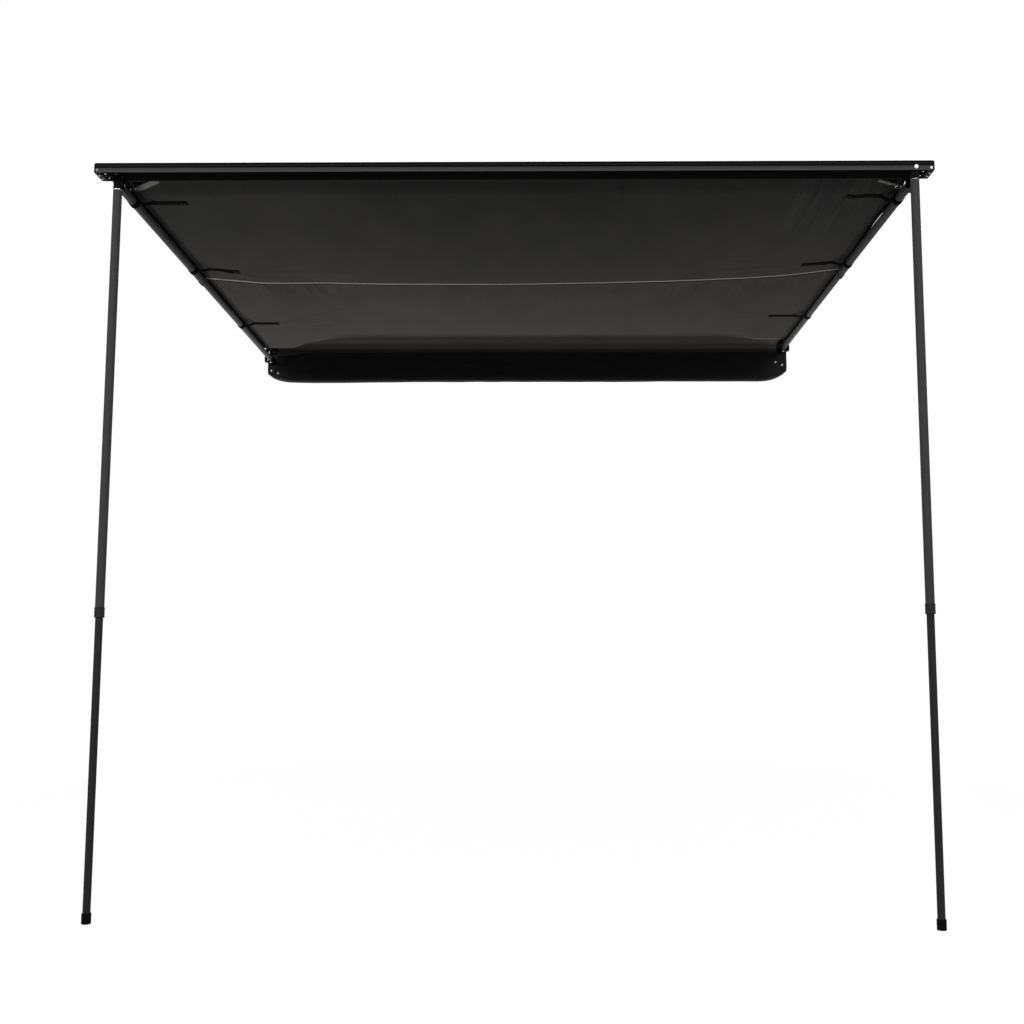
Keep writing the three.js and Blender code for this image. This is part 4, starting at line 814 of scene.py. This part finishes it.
def arm_eye(side):
    """Moulded eye at the rail end of an arm, on a flanged plug"""
    tip, way, up = side.arm_tip, side.arm_way, side.arm_up
    half_wide, half_high, rounding = 0.009, 0.008, 0.0022
    pivot = side.arm_length
    end = pivot - EYE_REACH
    face = end + 0.0003
    plug = turned([
        (0, end - 0.030), (0.0095, end - 0.030), (0.0095, face), (0.0106, face), (0.0110, end + 0.0008),
        (0.0110, end + 0.003), (0.0104, end + 0.0037), (0, end + 0.0037),
    ], tip, way)
    section = rounded([
        (-half_wide, -half_high), (half_wide, -half_high), (half_wide, half_high), (-half_wide, half_high),
    ], rounding)
    tongue = drawn(section, tip + way * face, way, pivot - face, Vector((1, 0, 0)), up)
    eye = turned(eased_ring(BOLT_HOLE, TUBE_RADIUS, 0, 2 * half_high, EYE_EASE),
                 tip + way * pivot - up * half_high, up, 56, True)
    piece(f"{side.name}_arm_eye", *joined(plug, tongue, eye), NYLON, f"{side.name}_arm", "moulded_nylon",
          [f"{side.name}_arm_knuckle"])


# Canopy: how it eases into the beam's track, and over what widths its corners and left side differ
FRONT_EASE = 0.130
REAR_PULL = 0.003
CORNER_BAND = (0.860, 1.090)
LEFT_BAND = (0.159, 0.459)
ROW_CROWDING = 0.35
SHEET_THICK = 2 * SHEET_HALF_THICK


def smooth(x, low, high):
    """0 below low, 1 above high, smooth between"""
    t = min(1.0, max(0.0, (x - low) / (high - low)))
    return t * t * (3 - 2 * t)


def canopy_edge(side, back):
    """Distance of the side edge from the middle at a distance behind the beam's face"""
    holds = [(SHEET_FRONT, side.edge - side.pull)] + [(place, side.edge) for place in STRAP_PLACES]
    holds.append((SHEET_REAR, side.edge - REAR_PULL))
    stations = [holds[0]]
    for i, (place, half) in enumerate(holds[1:]):
        last, was = holds[i]
        slack = last + (place - last) * side.slack_at
        stations += [(slack, (was + half) / 2 - side.bows[i]), (place, half)]
    for (last, was), (place, half) in zip(stations, stations[1:]):
        if back <= place:
            return was + (half - was) * smooth(back, last, place)
    return stations[-1][1]


def canopy_height(x, back):
    """Height of the canopy's middle layer, as the CAD has it: its sag, and at the left its fall along
    the lower arm"""
    front = smooth(back, SHEET_FRONT, SHEET_FRONT + FRONT_EASE)
    ease = REAR_EASE + (CORNER_EASE - REAR_EASE) * smooth(abs(x), *CORNER_BAND)
    rear = 1 - smooth(back, SHEET_REAR - ease, SHEET_REAR)
    at_left = 1 - smooth(x + ARM_X, *LEFT_BAND)
    fall = (back - SHEET_FRONT) * LEFT.drop / ARM_RUN
    return -front * rear * (SHEET_SAG + at_left * fall)


# Creases in the canopy: x and distance back of the start and the end, half width and depth
CREASES = (
    (-1.030, 0.905, -0.60, 1.010, 0.010, 0.0027), (-1.030, 0.900, -0.70, 0.870, 0.009, 0.0021),
    (-1.150, 0.850, -0.98, 0.985, 0.008, 0.0027), (-1.120, 0.860, -0.90, 1.060, 0.008, 0.0023),
    (-1.190, 0.880, -1.12, 1.000, 0.007, 0.0021), (1.050, 0.900, 0.62, 1.000, 0.010, 0.0023),
    (1.060, 0.890, 0.70, 0.860, 0.009, 0.0019), (1.150, 0.860, 1.02, 0.990, 0.008, 0.0024),
    (1.032, 0.060, 1.000, 0.660, 0.012, 0.0039), (1.080, 0.065, 1.050, 0.450, 0.009, 0.0024),
    (0.982, 0.060, 0.955, 0.560, 0.012, 0.0027), (0.930, 0.065, 0.880, 0.470, 0.015, 0.0019),
    (-1.085, 0.070, -1.072, 0.280, 0.010, 0.0021), (-1.000, 0.080, -0.960, 0.300, 0.013, 0.0018),
    (-1.030, 1.550, -0.72, 1.640, 0.011, 0.0024), (-1.040, 1.545, -0.76, 1.470, 0.010, 0.0021),
    (1.050, 1.575, 0.74, 1.680, 0.011, 0.0024), (1.050, 1.570, 0.76, 1.480, 0.010, 0.0021),
    (-0.840, 1.125, -0.74, 1.440, 0.014, 0.0024), (-0.640, 1.130, -0.58, 1.400, 0.014, 0.0018),
    (-0.450, 1.135, -0.40, 1.400, 0.016, 0.0019), (0.150, 1.135, 0.17, 1.380, 0.016, 0.0016),
    (0.560, 1.100, 0.60, 1.350, 0.016, 0.0019), (0.740, 1.090, 0.76, 1.370, 0.013, 0.0018),
    (0.900, 1.050, 0.86, 1.340, 0.014, 0.0021), (-1.000, 1.030, -0.93, 1.300, 0.012, 0.0021),
    (0.060, 0.110, 0.02, 0.360, 0.022, 0.0016), (-0.420, 0.100, -0.38, 0.330, 0.016, 0.0015),
)


def creased(x, back):
    """How much the cloth stands off its smooth shape"""
    run_out, reach, held_over, ripple = 0.15, 3, 0.05, 0.0008
    total = 0.0
    for x0, back0, x1, back1, width, depth in CREASES:
        long_x, long_back = x1 - x0, back1 - back0
        size = long_x * long_x + long_back * long_back
        t = ((x - x0) * long_x + (back - back0) * long_back) / size
        off = ((x - x0) * long_back - (back - back0) * long_x) / math.sqrt(size)
        wide = width * (0.6 + 1.1 * max(0.0, t))
        if not -run_out < t < 1 + run_out or abs(off) > reach * wide:
            continue
        fade = smooth(t, -run_out, 0.2) * (1 - smooth(t, 0.45, 1 + run_out))
        total -= depth * fade * math.exp(-(off / wide) ** 2)
    total += ripple * noise.noise(Vector((x * 5, back * 4, 0.3)))
    held = smooth(back, SHEET_FRONT, SHEET_FRONT + held_over)
    return total * held * (1 - smooth(back, SHEET_REAR - held_over, SHEET_REAR))


def under_canopy(x, back, below=0.0):
    """A place below the canopy's underside"""
    z = canopy_height(x, back) + creased(x, back) - SHEET_HALF_THICK - below
    return Vector((x, BEAM_FRONT + back, z))


def canopy():
    rows, columns = 170, 200
    tops, bottoms = [], []
    for i in range(rows + 1):
        share = i / rows
        share -= ROW_CROWDING * share * (1 - share) ** 2
        back = SHEET_FRONT + (SHEET_REAR - SHEET_FRONT) * share
        left, right = canopy_edge(LEFT, back), canopy_edge(RIGHT, back)
        places = [-left + (left + right) * j / columns for j in range(columns + 1)]
        tops.append([under_canopy(x, back, -SHEET_THICK) for x in places])
        bottoms.append([place + DOWN * SHEET_THICK for place in tops[-1]])
    made = cloth("canopy_canvas", shell(tops, bottoms), CANVAS, ["canopy"])
    trims = [rear_skirt()] + canopy_seam()
    for side in (LEFT, RIGHT):
        trims += corner_trim(side)
    for side in (LEFT, RIGHT):
        trims += side_hem(side)


def cloth(name, shape, finish, stands_for=(), sharp=60):
    """A piece of the canopy's cloth"""
    return piece(name, *shape, finish, "awning", "canopy_cloth", stands_for, sharp)


# Path of the skirt as (y, height), from under the canopy, over the folded arms, into the bag
SKIRT_FALL = (
    (-0.1700, 0.0), (-0.1100, -0.0080), (-0.0640, -0.0168), (-0.0540, -0.0202), (-0.0480, -0.0295),
    (-0.0465, -0.0385),
)
SKIRT_HALF = 1.172


def rear_skirt():
    """Strip of canvas sewn under the canopy near the rail, that hangs down into the bag's mouth"""
    rows, bent_rows, columns, thick = 30, 26, 160, 0.0006
    start, end = SKIRT_FALL[0][0], SKIRT_FALL[-1][0]
    foot = BAG_TRACK.z - 0.008
    tops, bottoms = [], []
    for i in range(rows + 1):
        y = start + (end - start) * math.sin(math.pi / 2 * min(1, i / bent_rows))
        down = curve_at(SKIRT_FALL, y)
        straight = max(0, i - bent_rows) / (rows - bent_rows)
        row = []
        for j in range(columns + 1):
            x = SKIRT_HALF * (2 * j / columns - 1)
            z = min(down, under_canopy(x, y - BEAM_FRONT, UNDER).z)
            row.append(Vector((x, y, z + (foot - bag_lip(x) - z) * straight)))
        tops.append(row)
    for i, row in enumerate(tops):
        before, after = tops[max(0, i - 1)], tops[min(rows, i + 1)]
        bottoms.append([
            place + Vector((0, before[j].z - after[j].z, after[j].y - before[j].y)).normalized() * thick
            for j, place in enumerate(row)
        ])
    return cloth("canopy_rear_skirt", shell(tops, bottoms), SKIRT_CANVAS_PAINTED_LIGHT)


def strip(name, line, width, below, thickness, finish):
    """A flat strip sewn under the canopy along a line of (x, back) points, thinner at its edges"""
    tops, bottoms = [], []
    for i, (x, back) in enumerate(line):
        before, after = line[max(0, i - 1)], line[min(len(line) - 1, i + 1)]
        way = Vector((after[0] - before[0], after[1] - before[1])).normalized()
        aside = Vector((-way.y, way.x)) * width / 2
        tops.append([under_canopy(x + aside.x * s, back + aside.y * s, below) for s in (-1, -0.4, 0.4, 1)])
        bottoms.append([
            place + DOWN * thickness * share for place, share in zip(tops[-1], (0.5, 1, 1, 0.5))
        ])
    return cloth(name, shell(tops, bottoms), finish, (), 50)


def curve_at(points, x):
    """Height at x of a smooth curve through points"""
    i = max(1, min(len(points) - 1, sum(1 for point in points if point[0] < x)))
    (x0, y0), (x1, y1) = points[i - 1], points[i]
    before, after = points[max(0, i - 2)], points[min(len(points) - 1, i + 1)]
    slope0 = (y1 - before[1]) / (x1 - before[0])
    slope1 = (after[1] - y0) / (after[0] - x0)
    long = x1 - x0
    t = min(1.0, max(0.0, (x - x0) / long))
    return ((2 * t**3 - 3 * t**2 + 1) * y0 + (t**3 - 2 * t**2 + t) * long * slope0
            + (3 * t**2 - 2 * t**3) * y1 + (t**3 - t**2) * long * slope1)


def along_points(points, count, aside=0.0):
    """Places evenly spaced in x on a smooth curve through points"""
    first, last = points[0][0], points[-1][0]
    places = [first + (last - first) * k / count for k in range(count + 1)]
    return [(x, curve_at(points, x) + aside) for x in places]


# Corner tapes as two (x, back) ends and a width, and the seam as (x, back) points
CORNER_LINES = {
    "left": ((-1.098, 0.112), (-1.176, 0.158), 0.021),
    "right": ((1.118, 0.122), (1.187, 0.152), 0.012),
}

SEAM_LINE = (
    (-1.196, 0.968), (-1.072, 1.000), (-0.930, 1.050), (-0.786, 1.096), (-0.600, 1.112), (-0.398, 1.119),
    (0.001, 1.119), (0.305, 1.104), (0.690, 1.071), (0.988, 1.020), (1.177, 0.950), (1.194, 0.942),
)


def canopy_seam():
    """Felled seam across the canopy: a pale tape, a dark strip behind it that is a painted shadow, and its
    stitching
    """
    steps, stitch_steps, row_off = 260, 620, 0.0045
    tape = strip("canopy_seam", along_points(SEAM_LINE, steps), 0.012, UNDER, 0.0012, SEAM_TAPE)
    # A dark strip just behind the tape: a painted shadow
    seam_painted_shadow = strip("canopy_seam_fold", along_points(SEAM_LINE, steps, 0.0125), 0.010, UNDER, 0.0006, BINDING)
    rows = [along_points(SEAM_LINE, stitch_steps, aside) for aside in (-row_off, row_off)]
    return [tape, seam_painted_shadow, stitches("canopy_seam_stitches", rows, 0.0014, PALE_THREAD)]


def stitches(name, rows, below, finish):
    """Short lengths of thread along rows of (x, back) points under the canopy"""
    shapes = [
        thread_length(under_canopy(*here, below), under_canopy(*ahead, below))
        for row in rows for here, ahead in zip(row[::2], row[1::2])
    ]
    return cloth(name, joined(*shapes), finish, (), 50)


def thread_length(start, end):
    """One stitch: a short thread that dips into the cloth at both ends"""
    radius, facets, sunk = 0.0004, 5, 0.00008
    way = end - start
    profile = [(0, 0), (radius, 0.2 * way.length), (radius, 0.8 * way.length), (0, way.length)]
    return turned(profile, start + DOWN * sunk, way.normalized(), facets)


def side_hem(side):
    """Folded black hem along a side edge, wide where it lies over the arm"""
    width = 0.020 if side is LEFT else 0.015

    def line(before, after, steps, share, inset=0.0):
        """Points along the edge, a share of the hem's width inside it"""
        backs = [SHEET_FRONT + before + (SHEET_REAR - SHEET_FRONT - before - after) * k / steps
                 for k in range(steps + 1)]
        return [(side.sign * (canopy_edge(side, back) - width * share - inset), back) for back in backs]

    middle = line(0.004, 0.004, 180, 0.5, 0.0008)
    hem = strip(f"canopy_{side.name}_hem", middle, width, UNDER, 0.0005, BINDING)
    rows = [line(0.02, 0.04, 520, share) for share in (0.92, 0.10)]
    return [hem, stitches(f"canopy_{side.name}_hem_stitches", rows, 0.0006, DARK_THREAD)]


def corner_trim(side):
    """Sewn tape that cuts across a front corner, and the patch before it. The patch at the left is a
    piece by itself and isn't returned with the tape"""
    first, last, width = CORNER_LINES[side.name]
    tape = strip(f"canopy_{side.name}_corner", evenly(first, last, 32), width, 0.0008, 0.0008, CORNER_TAPE)
    patch = evenly((side.sign * 1.110, SHEET_FRONT + 0.012), (side.sign * 1.182, SHEET_FRONT + 0.038), 24)
    flap = strip(f"canopy_{side.name}_corner_patch", patch, 0.050, UNDER, 0.0006, BINDING)
    return [tape, flap] if side is RIGHT else [tape]


def evenly(first, last, steps):
    """Points evenly spaced from first to last"""
    return [tuple(a + (b - a) * k / steps for a, b in zip(first, last)) for k in range(steps + 1)]


def eyelet(side):
    """Grommet near a front corner, tilted as the canopy is there"""
    ring, ahead_of_strap = 0.006, 0.042
    x, back = side.sign * 1.188, STRAP_PLACES[0] - ahead_of_strap
    rise = (canopy_height(x, back + ring) - canopy_height(x, back - ring)) / (2 * ring)
    half = [
        (0.006, 0.0012), (0.0095, 0.0012), (0.0095, 0.0017), (0.0088, 0.0021), (0.0058, 0.0022),
        (0.005, 0.0018),
    ]
    profile = [(radius, -along) for radius, along in reversed(half)] + half
    shape = turned(profile, Vector((x, BEAM_FRONT + back, canopy_height(x, back))),
                   Vector((0, -rise, 1)).normalized(), 44, True)
    piece(f"{side.name}_eyelet", *shape, DULL_STEEL if side is LEFT else BRASS, "awning", "grommet_brass",
          [f"{side.name}_grommet"], 40)


# Straps: share of the tail at which it has risen to the canopy and at which its end is folded under,
# how early each one rakes back, and its box of stitches as shares of its length and width
RISEN_AT, FOLDED_AT = 0.30, 0.86
RAKED_EARLY = (0.92, 0.50, 0.92)
STITCHED_BOX = (
    (0.87, -0.38), (0.985, -0.38), (0.985, 0.38), (0.87, 0.38), (0.87, -0.38), (0.985, 0.38), (0.87, 0.38),
    (0.985, -0.38),
)


def strap(side, index):
    """Webbing strap: a tail that leaves the arm's inner side and is sewn under the canopy, and its
    loop round the arm"""
    name, number, sign = side.name, index + 1, side.sign
    back = STRAP_PLACES[index]
    along = (back + BEAM_FRONT - ARM_TIP_Y) / math.cos(side.tilt)
    bore = (TUBE_RADIUS if along < ARM_TUBE_LENGTH + ARM_PLUG else INNER_RADIUS) + 0.0003
    axis = side.arm_tip + side.arm_way * along
    outer, inner = ARM_X - bore - 0.0026, canopy_edge(side, back) - 0.1612

    def place(t, share, below):
        """Where the tail is at t of its length and share of its width, below the canopy"""
        early = smooth(t, 0.0, RISEN_AT)
        sway = 0.0012 * math.sin(7 * t + index * 2.1 + sign) * early
        raked = side.rakes[index] * (t + RAKED_EARLY[index] * (early - t))
        found = under_canopy(
            sign * (outer + (inner - outer) * t), back + raked + sway + STRAP_WIDTH * share, below)
        start = axis.z - 0.004 - below + side.arm_way.z * STRAP_WIDTH * share
        found.z += (start - found.z) * (1 - early)
        return found

    rows, columns, thin, folded = 48, 6, 0.0018, 0.0030
    edges = (0, columns)
    tops, bottoms = [], []
    for i in range(rows + 1):
        thick = folded if i / rows > FOLDED_AT else thin
        tops.append([place(i / rows, k / columns - 0.5, 0.0006) for k in range(columns + 1)])
        bottoms.append([
            corner + DOWN * thick * (0.7 if k in edges else 1) for k, corner in enumerate(tops[-1])
        ])
    piece(f"{name}_webbing_tail_{number}", *shell(tops, bottoms), WEBBING, "awning", "strap_webbing",
          [f"{name}_strap_tail_{number}"], 40)
    shapes = []
    for (t0, share0), (t1, share1) in zip(STITCHED_BOX, STITCHED_BOX[1:]):
        for k in range(8):
            shapes.append(thread_length(*(
                place(t0 + (t1 - t0) * m, share0 + (share1 - share0) * m, 0.0038)
                for m in ((k + 0.1) / 8, (k + 0.8) / 8)
            )))
    piece(f"{name}_webbing_stitches_{number}", *joined(*shapes), DARK_THREAD, "awning", "strap_webbing")
    body = f"{name}_arm" if index == 2 else f"{name}_arm_front"
    half, ease = STRAP_WIDTH / 2, 0.0005
    full, soft = bore + 0.002, bore + 0.0016

    def lapped(turn, reach, at):
        return 0.0002 * math.sin(3 * turn + index) if reach > bore + 0.001 else 0

    loop = turned([
        (bore, along - half), (soft, along - half), (full, along - half + ease), (full, along - half * 0.4),
        (bore + 0.0018, along), (full, along + half * 0.4), (full, along + half - ease),
        (soft, along + half), (bore, along + half),
    ], side.arm_tip, side.arm_way, 64, True, lapped)
    piece(f"{name}_webbing_loop_{number}", *loop, WEBBING, body, "strap_webbing",
          [f"{name}_strap_loop_{number}"], 50)
    aside = Vector((sign * 0.80, 0, 0)) - side.arm_up * 0.60
    dome_stud(f"{name}_strap_stud_{number}", axis - side.arm_way * (half + 0.008) + aside * (bore - 0.0006),
              aside, 0.0042, 0.0016, body)


# Stowage bag: its bead, half length, end corner, drop, lip and walls, and the line of its bottom as
# (x, height)
BAG_TRACK = Vector((0, -0.014, -0.0265))
BAG_HALF = 1.2200
BAG_CORNER = 0.095
BAG_DROP = 0.160
BAG_LIP = 0.014
BEAD_DEPTH = 0.014
BAG_BACK, BAG_FRONT = 0.005, 0.0435
BAG_THICK = 0.0015
END_SQUEEZE = 0.28
BAG_BOTTOM = (
    (-1.2200, -0.147), (-1.190, -0.168), (-1.155, -0.179), (-1.112, -0.1855), (-0.971, -0.1890),
    (-0.594, -0.1855), (-0.068, -0.184), (0.344, -0.185), (0.812, -0.182), (1.078, -0.183), (1.144, -0.177),
    (1.190, -0.158), (1.2200, -0.135),
)


def bag_path():
    """The bag's section as (depth behind, drop) pairs from its bead round to its front lip"""
    middle, around = (BAG_BACK + BAG_FRONT) / 2, (BAG_FRONT - BAG_BACK) / 2
    down = [
        (BEAD_DEPTH, 0.0), (0.0135, 0.007), (0.0100, 0.020), (0.0070, 0.040), (0.0058, 0.070),
        (0.0052, 0.105),
    ]
    bottom = [
        (middle - around * math.cos(turn), BAG_DROP - around + around * math.sin(turn))
        for turn in (math.pi * k / 16 for k in range(17))
    ]
    return down + bottom + [
        (BAG_FRONT, 0.115), (0.0433, 0.090), (0.0432, 0.065), (0.0432, 0.045), (0.0433, 0.028),
        (BAG_FRONT, BAG_LIP),
    ]


def bag_lip(x):
    """Drop of the bag's front lip below its track: it droops at the left end and waves a little"""
    droop, wave = 0.018 * smooth(-x, 1.00, 1.17), 0.0015 * noise.noise(Vector((x * 1.7, 3.1, 0.2)))
    return BAG_LIP + droop + wave


def bag_end(x):
    """0 along the bag, rising to 1 at its ends"""
    into = min(1.0, max(0.0, (abs(x) - (BAG_HALF - BAG_CORNER)) / BAG_CORNER))
    return 1 - math.sqrt(max(0.0, 1 - into ** 2))


def bag_place(path, k, x):
    """A place on the bag: its bottom follows the line that it hangs in, its front lip droops at the
    left end, and the cloth is slack between"""
    end, lip = bag_end(x), bag_lip(x)
    depth, drop = path[k]
    deepest = BAG_TRACK.z - curve_at(BAG_BOTTOM, x)
    if k > len(path) // 2:
        drop = lip + (drop - BAG_LIP) * (deepest - lip) / (BAG_DROP - BAG_LIP)
    else:
        drop = drop * deepest / BAG_DROP
    depth = squeezed(depth, end)
    slack = smooth(drop, 0.02, 0.12) * (1 - end)
    ripple = noise.noise(Vector((x * 9, drop * 14, depth * 30))) * 0.0014
    broad = noise.noise(Vector((x * 2.3, drop * 5, 7.7))) * 0.0022
    front = smooth(depth, 0.024, 0.040)
    return Vector((
        x, -depth - front * slack * (ripple + broad), BAG_TRACK.z - drop - (1 - front) * ripple * slack,
    ))


def squeezed(depth, end):
    """A depth in the bag, drawn towards the bead at its ends"""
    return BEAD_DEPTH + (depth - BEAD_DEPTH) * (1 - END_SQUEEZE * end)


def bag_studs(side):
    """Two snap studs at an end of the bag's front wall"""
    places = ((1.201, -0.134), (1.169, -0.147)) if side is LEFT else ((1.197, -0.110), (1.166, -0.096))
    for number, (x, z) in enumerate(places, 1):
        depth = squeezed(BAG_FRONT, bag_end(x)) + 0.0006
        dome_stud(f"{side.name}_bag_stud_{number}", Vector((side.sign * x, -depth, z)), OUT, 0.0058, 0.0026)


def bag():
    path = bag_path()
    corner_steps, steps = 14, 90
    straight = BAG_HALF - BAG_CORNER
    turns = [k / corner_steps * math.pi / 2 for k in range(corner_steps + 1)]
    ends = [straight + BAG_CORNER * math.sin(turn) for turn in turns]
    middles = [straight * k / steps for k in range(1 - steps, steps)]
    stations = [-x for x in reversed(ends)] + middles + ends
    outer = [[bag_place(path, k, x) for k in range(len(path))] for x in stations]
    inner = []
    for row in outer:
        ways = [row[min(k + 1, len(row) - 1)] - row[max(k - 1, 0)] for k in range(len(row))]
        inner.append([
            place - Vector((0, way.z, -way.y)).normalized() * BAG_THICK for place, way in zip(row, ways)
        ])
    panels = []
    for row in (outer[0], outer[-1]):
        kept = [place for place in row if place.z < BAG_TRACK.z - 0.007]
        thick = Vector((-math.copysign(BAG_THICK, kept[0].x), 0, 0))
        panels.append((kept + [place + thick for place in kept], ring_faces(len(kept))))
    made = piece("stowage_bag_fabric", *joined(shell(outer, inner), *panels), BAG, "awning", "bag_fabric",
                 ["stowage_bag"], 50)
    hem = bag_hem(path)


def bag_hem(path):
    """Piped hem along the bag's front lip"""
    steps, short, proud = 160, 0.010, Vector((0, 0.0006, 0.0004))
    points = [
        bag_place(path, len(path) - 1, (BAG_HALF - short) * (2 * k / steps - 1)) + proud
        for k in range(steps + 1)
    ]
    return piece("bag_lip_piping", *cord_of(points, 0.0022, 10), BINDING, "awning", "bag_fabric", (), 60)


def end_rivets(side):
    """Four rivets under the fitting that closes an end of the beam"""
    places = ((1.242, -2.096), (1.242, -2.072), (1.219, -2.108), (1.219, -2.077))
    for number, (x, y) in enumerate(places, 1):
        dome_stud(f"{side.name}_end_rivet_{number}", Vector((side.sign * x, y, BEAM_BOTTOM)), DOWN, 0.0030,
                  0.0012)


def finish_node(node, finish):
    """Gives a CAD node that keeps its shape its finish"""
    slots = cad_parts[node].data.materials
    if not slots:
        slots.append(finish.material)
    for k in range(len(slots)):
        slots[k] = finish.material


# Light, floor and camera
WHITE = (1, 1, 1, 1)
IMAGE_SIDE = 1024
FOCAL_PIXELS = 1189.53
SHIFT_PIXELS = -25
SENSOR = 36
CAMERA_PLACE = (0.11303, -5.51546, -1.43372)
SOFTBOX_AIM = (0, -1.2, -1.0)


def seen_rays(nodes, links):
    """1 for what the camera, a gloss or a clear piece sees, 0 for the light that falls on things"""
    path = nodes.new("ShaderNodeLightPath")
    found = path.outputs["Is Camera Ray"]
    for more in ("Is Glossy Ray", "Is Transmission Ray"):
        either = nodes.new("ShaderNodeMath")
        either.operation = "MAXIMUM"
        links.new(found, either.inputs[0])
        links.new(path.outputs[more], either.inputs[1])
        found = either.outputs[0]
    return found


def mixed(nodes, links, share, first, second):
    """A mix of two shaders"""
    both = nodes.new("ShaderNodeMixShader")
    for k, out in enumerate((share, first.outputs[0], second.outputs[0])):
        links.new(out, both.inputs[k])
    return both


def plain_node(nodes, kind, **sockets):
    """A node with plain values, its sockets named with _ for a space"""
    made = nodes.new(kind)
    for name, value in sockets.items():
        made.inputs[name.replace("_", " ")].default_value = value
    return made


def studio():
    """White surround, that lights the object less than it shows"""
    scene = bpy.context.scene
    scene.view_settings.view_transform = "Standard"
    scene.world = bpy.data.worlds.new("studio surround")
    scene.world.use_nodes = True
    nodes, links = scene.world.node_tree.nodes, scene.world.node_tree.links
    nodes.clear()
    seen = seen_rays(nodes, links)
    shown = plain_node(nodes, "ShaderNodeBackground", Color=WHITE, Strength=1.0)
    lit = plain_node(nodes, "ShaderNodeBackground", Color=WHITE, Strength=0.42)
    both = mixed(nodes, links, seen, lit, shown)
    links.new(both.outputs[0], nodes.new("ShaderNodeOutputWorld").inputs["Surface"])


def floor():
    """Pale floor that the camera sees white, but for the object's shadow near it"""
    mesh = bpy.data.meshes.new("studio_floor")
    reach, below = 14, 0.0004
    mesh.from_pydata(
        [(x * reach, y * reach, GROUND - below) for x, y in ((-1, -1), (1, -1), (1, 1), (-1, 1))], [],
        [(0, 1, 2, 3)])
    made = bpy.data.objects.new("studio_floor", mesh)
    bpy.context.scene.collection.objects.link(made)
    paint = bpy.data.materials.new("studio floor paint")
    paint.use_nodes = True
    nodes, links = paint.node_tree.nodes, paint.node_tree.links
    plain = nodes["Principled BSDF"]
    plain.inputs["Base Color"].default_value = (0.22, 0.22, 0.22, 1)
    plain.inputs["Roughness"].default_value = 0.9
    plain.inputs["Specular IOR Level"].default_value = 0.1
    pale = plain_node(nodes, "ShaderNodeBsdfDiffuse", Color=(0.92, 0.92, 0.92, 1))
    glow = plain_node(nodes, "ShaderNodeEmission", Color=WHITE, Strength=1.03)
    away = nodes.new("ShaderNodeVectorMath")
    away.operation = "LENGTH"
    far = plain_node(nodes, "ShaderNodeMapRange", From_Min=3.2, From_Max=6.2, To_Min=0.93, To_Max=1.0)
    far.interpolation_type = "SMOOTHSTEP"
    links.new(nodes.new("ShaderNodeTexCoord").outputs["Object"], away.inputs[0])
    links.new(away.outputs["Value"], far.inputs["Value"])
    white = mixed(nodes, links, far.outputs[0], pale, glow)
    both = mixed(nodes, links, seen_rays(nodes, links), plain, white)
    links.new(both.outputs[0], nodes["Material Output"].inputs["Surface"])
    mesh.materials.append(paint)


def lamp(name, place, aim, size, power):
    data = bpy.data.lights.new(name, "AREA")
    data.shape = "RECTANGLE"
    data.size, data.size_y = size
    data.energy = power
    made = bpy.data.objects.new(name, data)
    made.location = place
    made.rotation_euler = (Vector(aim) - Vector(place)).to_track_quat("-Z", "Y").to_euler()
    bpy.context.scene.collection.objects.link(made)
    return made


def camera():
    """The photograph's camera: its place, turn and focal length from the fit of the beam and legs"""
    pitch, yaw, roll = 0.11454, -0.01154, 0.00145
    ahead = Vector((math.sin(yaw) * math.cos(pitch), math.cos(yaw) * math.cos(pitch), math.sin(pitch)))
    right = Vector((math.cos(yaw), -math.sin(yaw), 0))
    up = right.cross(ahead)
    turned_right = right * math.cos(roll) + up * math.sin(roll)
    turned_up = up * math.cos(roll) - right * math.sin(roll)
    data = bpy.data.cameras.new("photo camera")
    data.sensor_fit = "HORIZONTAL"
    data.sensor_width = SENSOR
    data.lens = FOCAL_PIXELS / IMAGE_SIDE * SENSOR
    data.shift_x = SHIFT_PIXELS / IMAGE_SIDE
    made = bpy.data.objects.new("photo camera", data)
    made.matrix_world = Matrix.Translation(CAMERA_PLACE) @ Matrix(
        (turned_right, turned_up, -ahead)).transposed().to_4x4()
    bpy.context.scene.collection.objects.link(made)
    bpy.context.scene.camera = made


camera()
studio()
floor()
lamp("front left softbox", (-3.2, -6.2, 1.8), SOFTBOX_AIM, (2.4, 2.4), 155)
lamp("front right softbox", (3.2, -6.2, 1.8), SOFTBOX_AIM, (2.4, 2.4), 125)
for x, y, power in ((-2.5, 1.2, 180), (-0.2, 1.7, 76), (2.5, 1.2, 88)):
    low = lamp("floor softbox", (x, y, GROUND + 0.02), (x * 0.8, y + 0.1, 0), (2.0, 1.2), power)
    low.visible_camera = False

front_beam()
canopy()
bag()
for side in (LEFT, RIGHT):
    fasteners(side)
    leg(side)
    arm(side)
    eyelet(side)
    for index in range(3):
        strap(side, index)
    bag_studs(side)
    end_rivets(side)
    for node, soft, ceiling in (
        ("beam_end", 0.0008, None), ("arm_seat", 0.0008, seat_top), ("rail_bracket", 0.0009, None),
    ):
        eased_copy(f"{side.name}_{node}", f"{side.name}_{node}_moulding", soft, ceiling)
    for node in ("leg_nut", "bracket_screw"):
        finish_node(f"{side.name}_{node}", STEEL)
    for node in ("leg_lock_collet", "arm_lock_collet"):
        finish_node(f"{side.name}_{node}", NYLON)
finish_node("back_rail", RAIL_COAT)
for node in ("canopy_front_bead", "canopy_rear_bead"):
    finish_node(node, WEBBING)
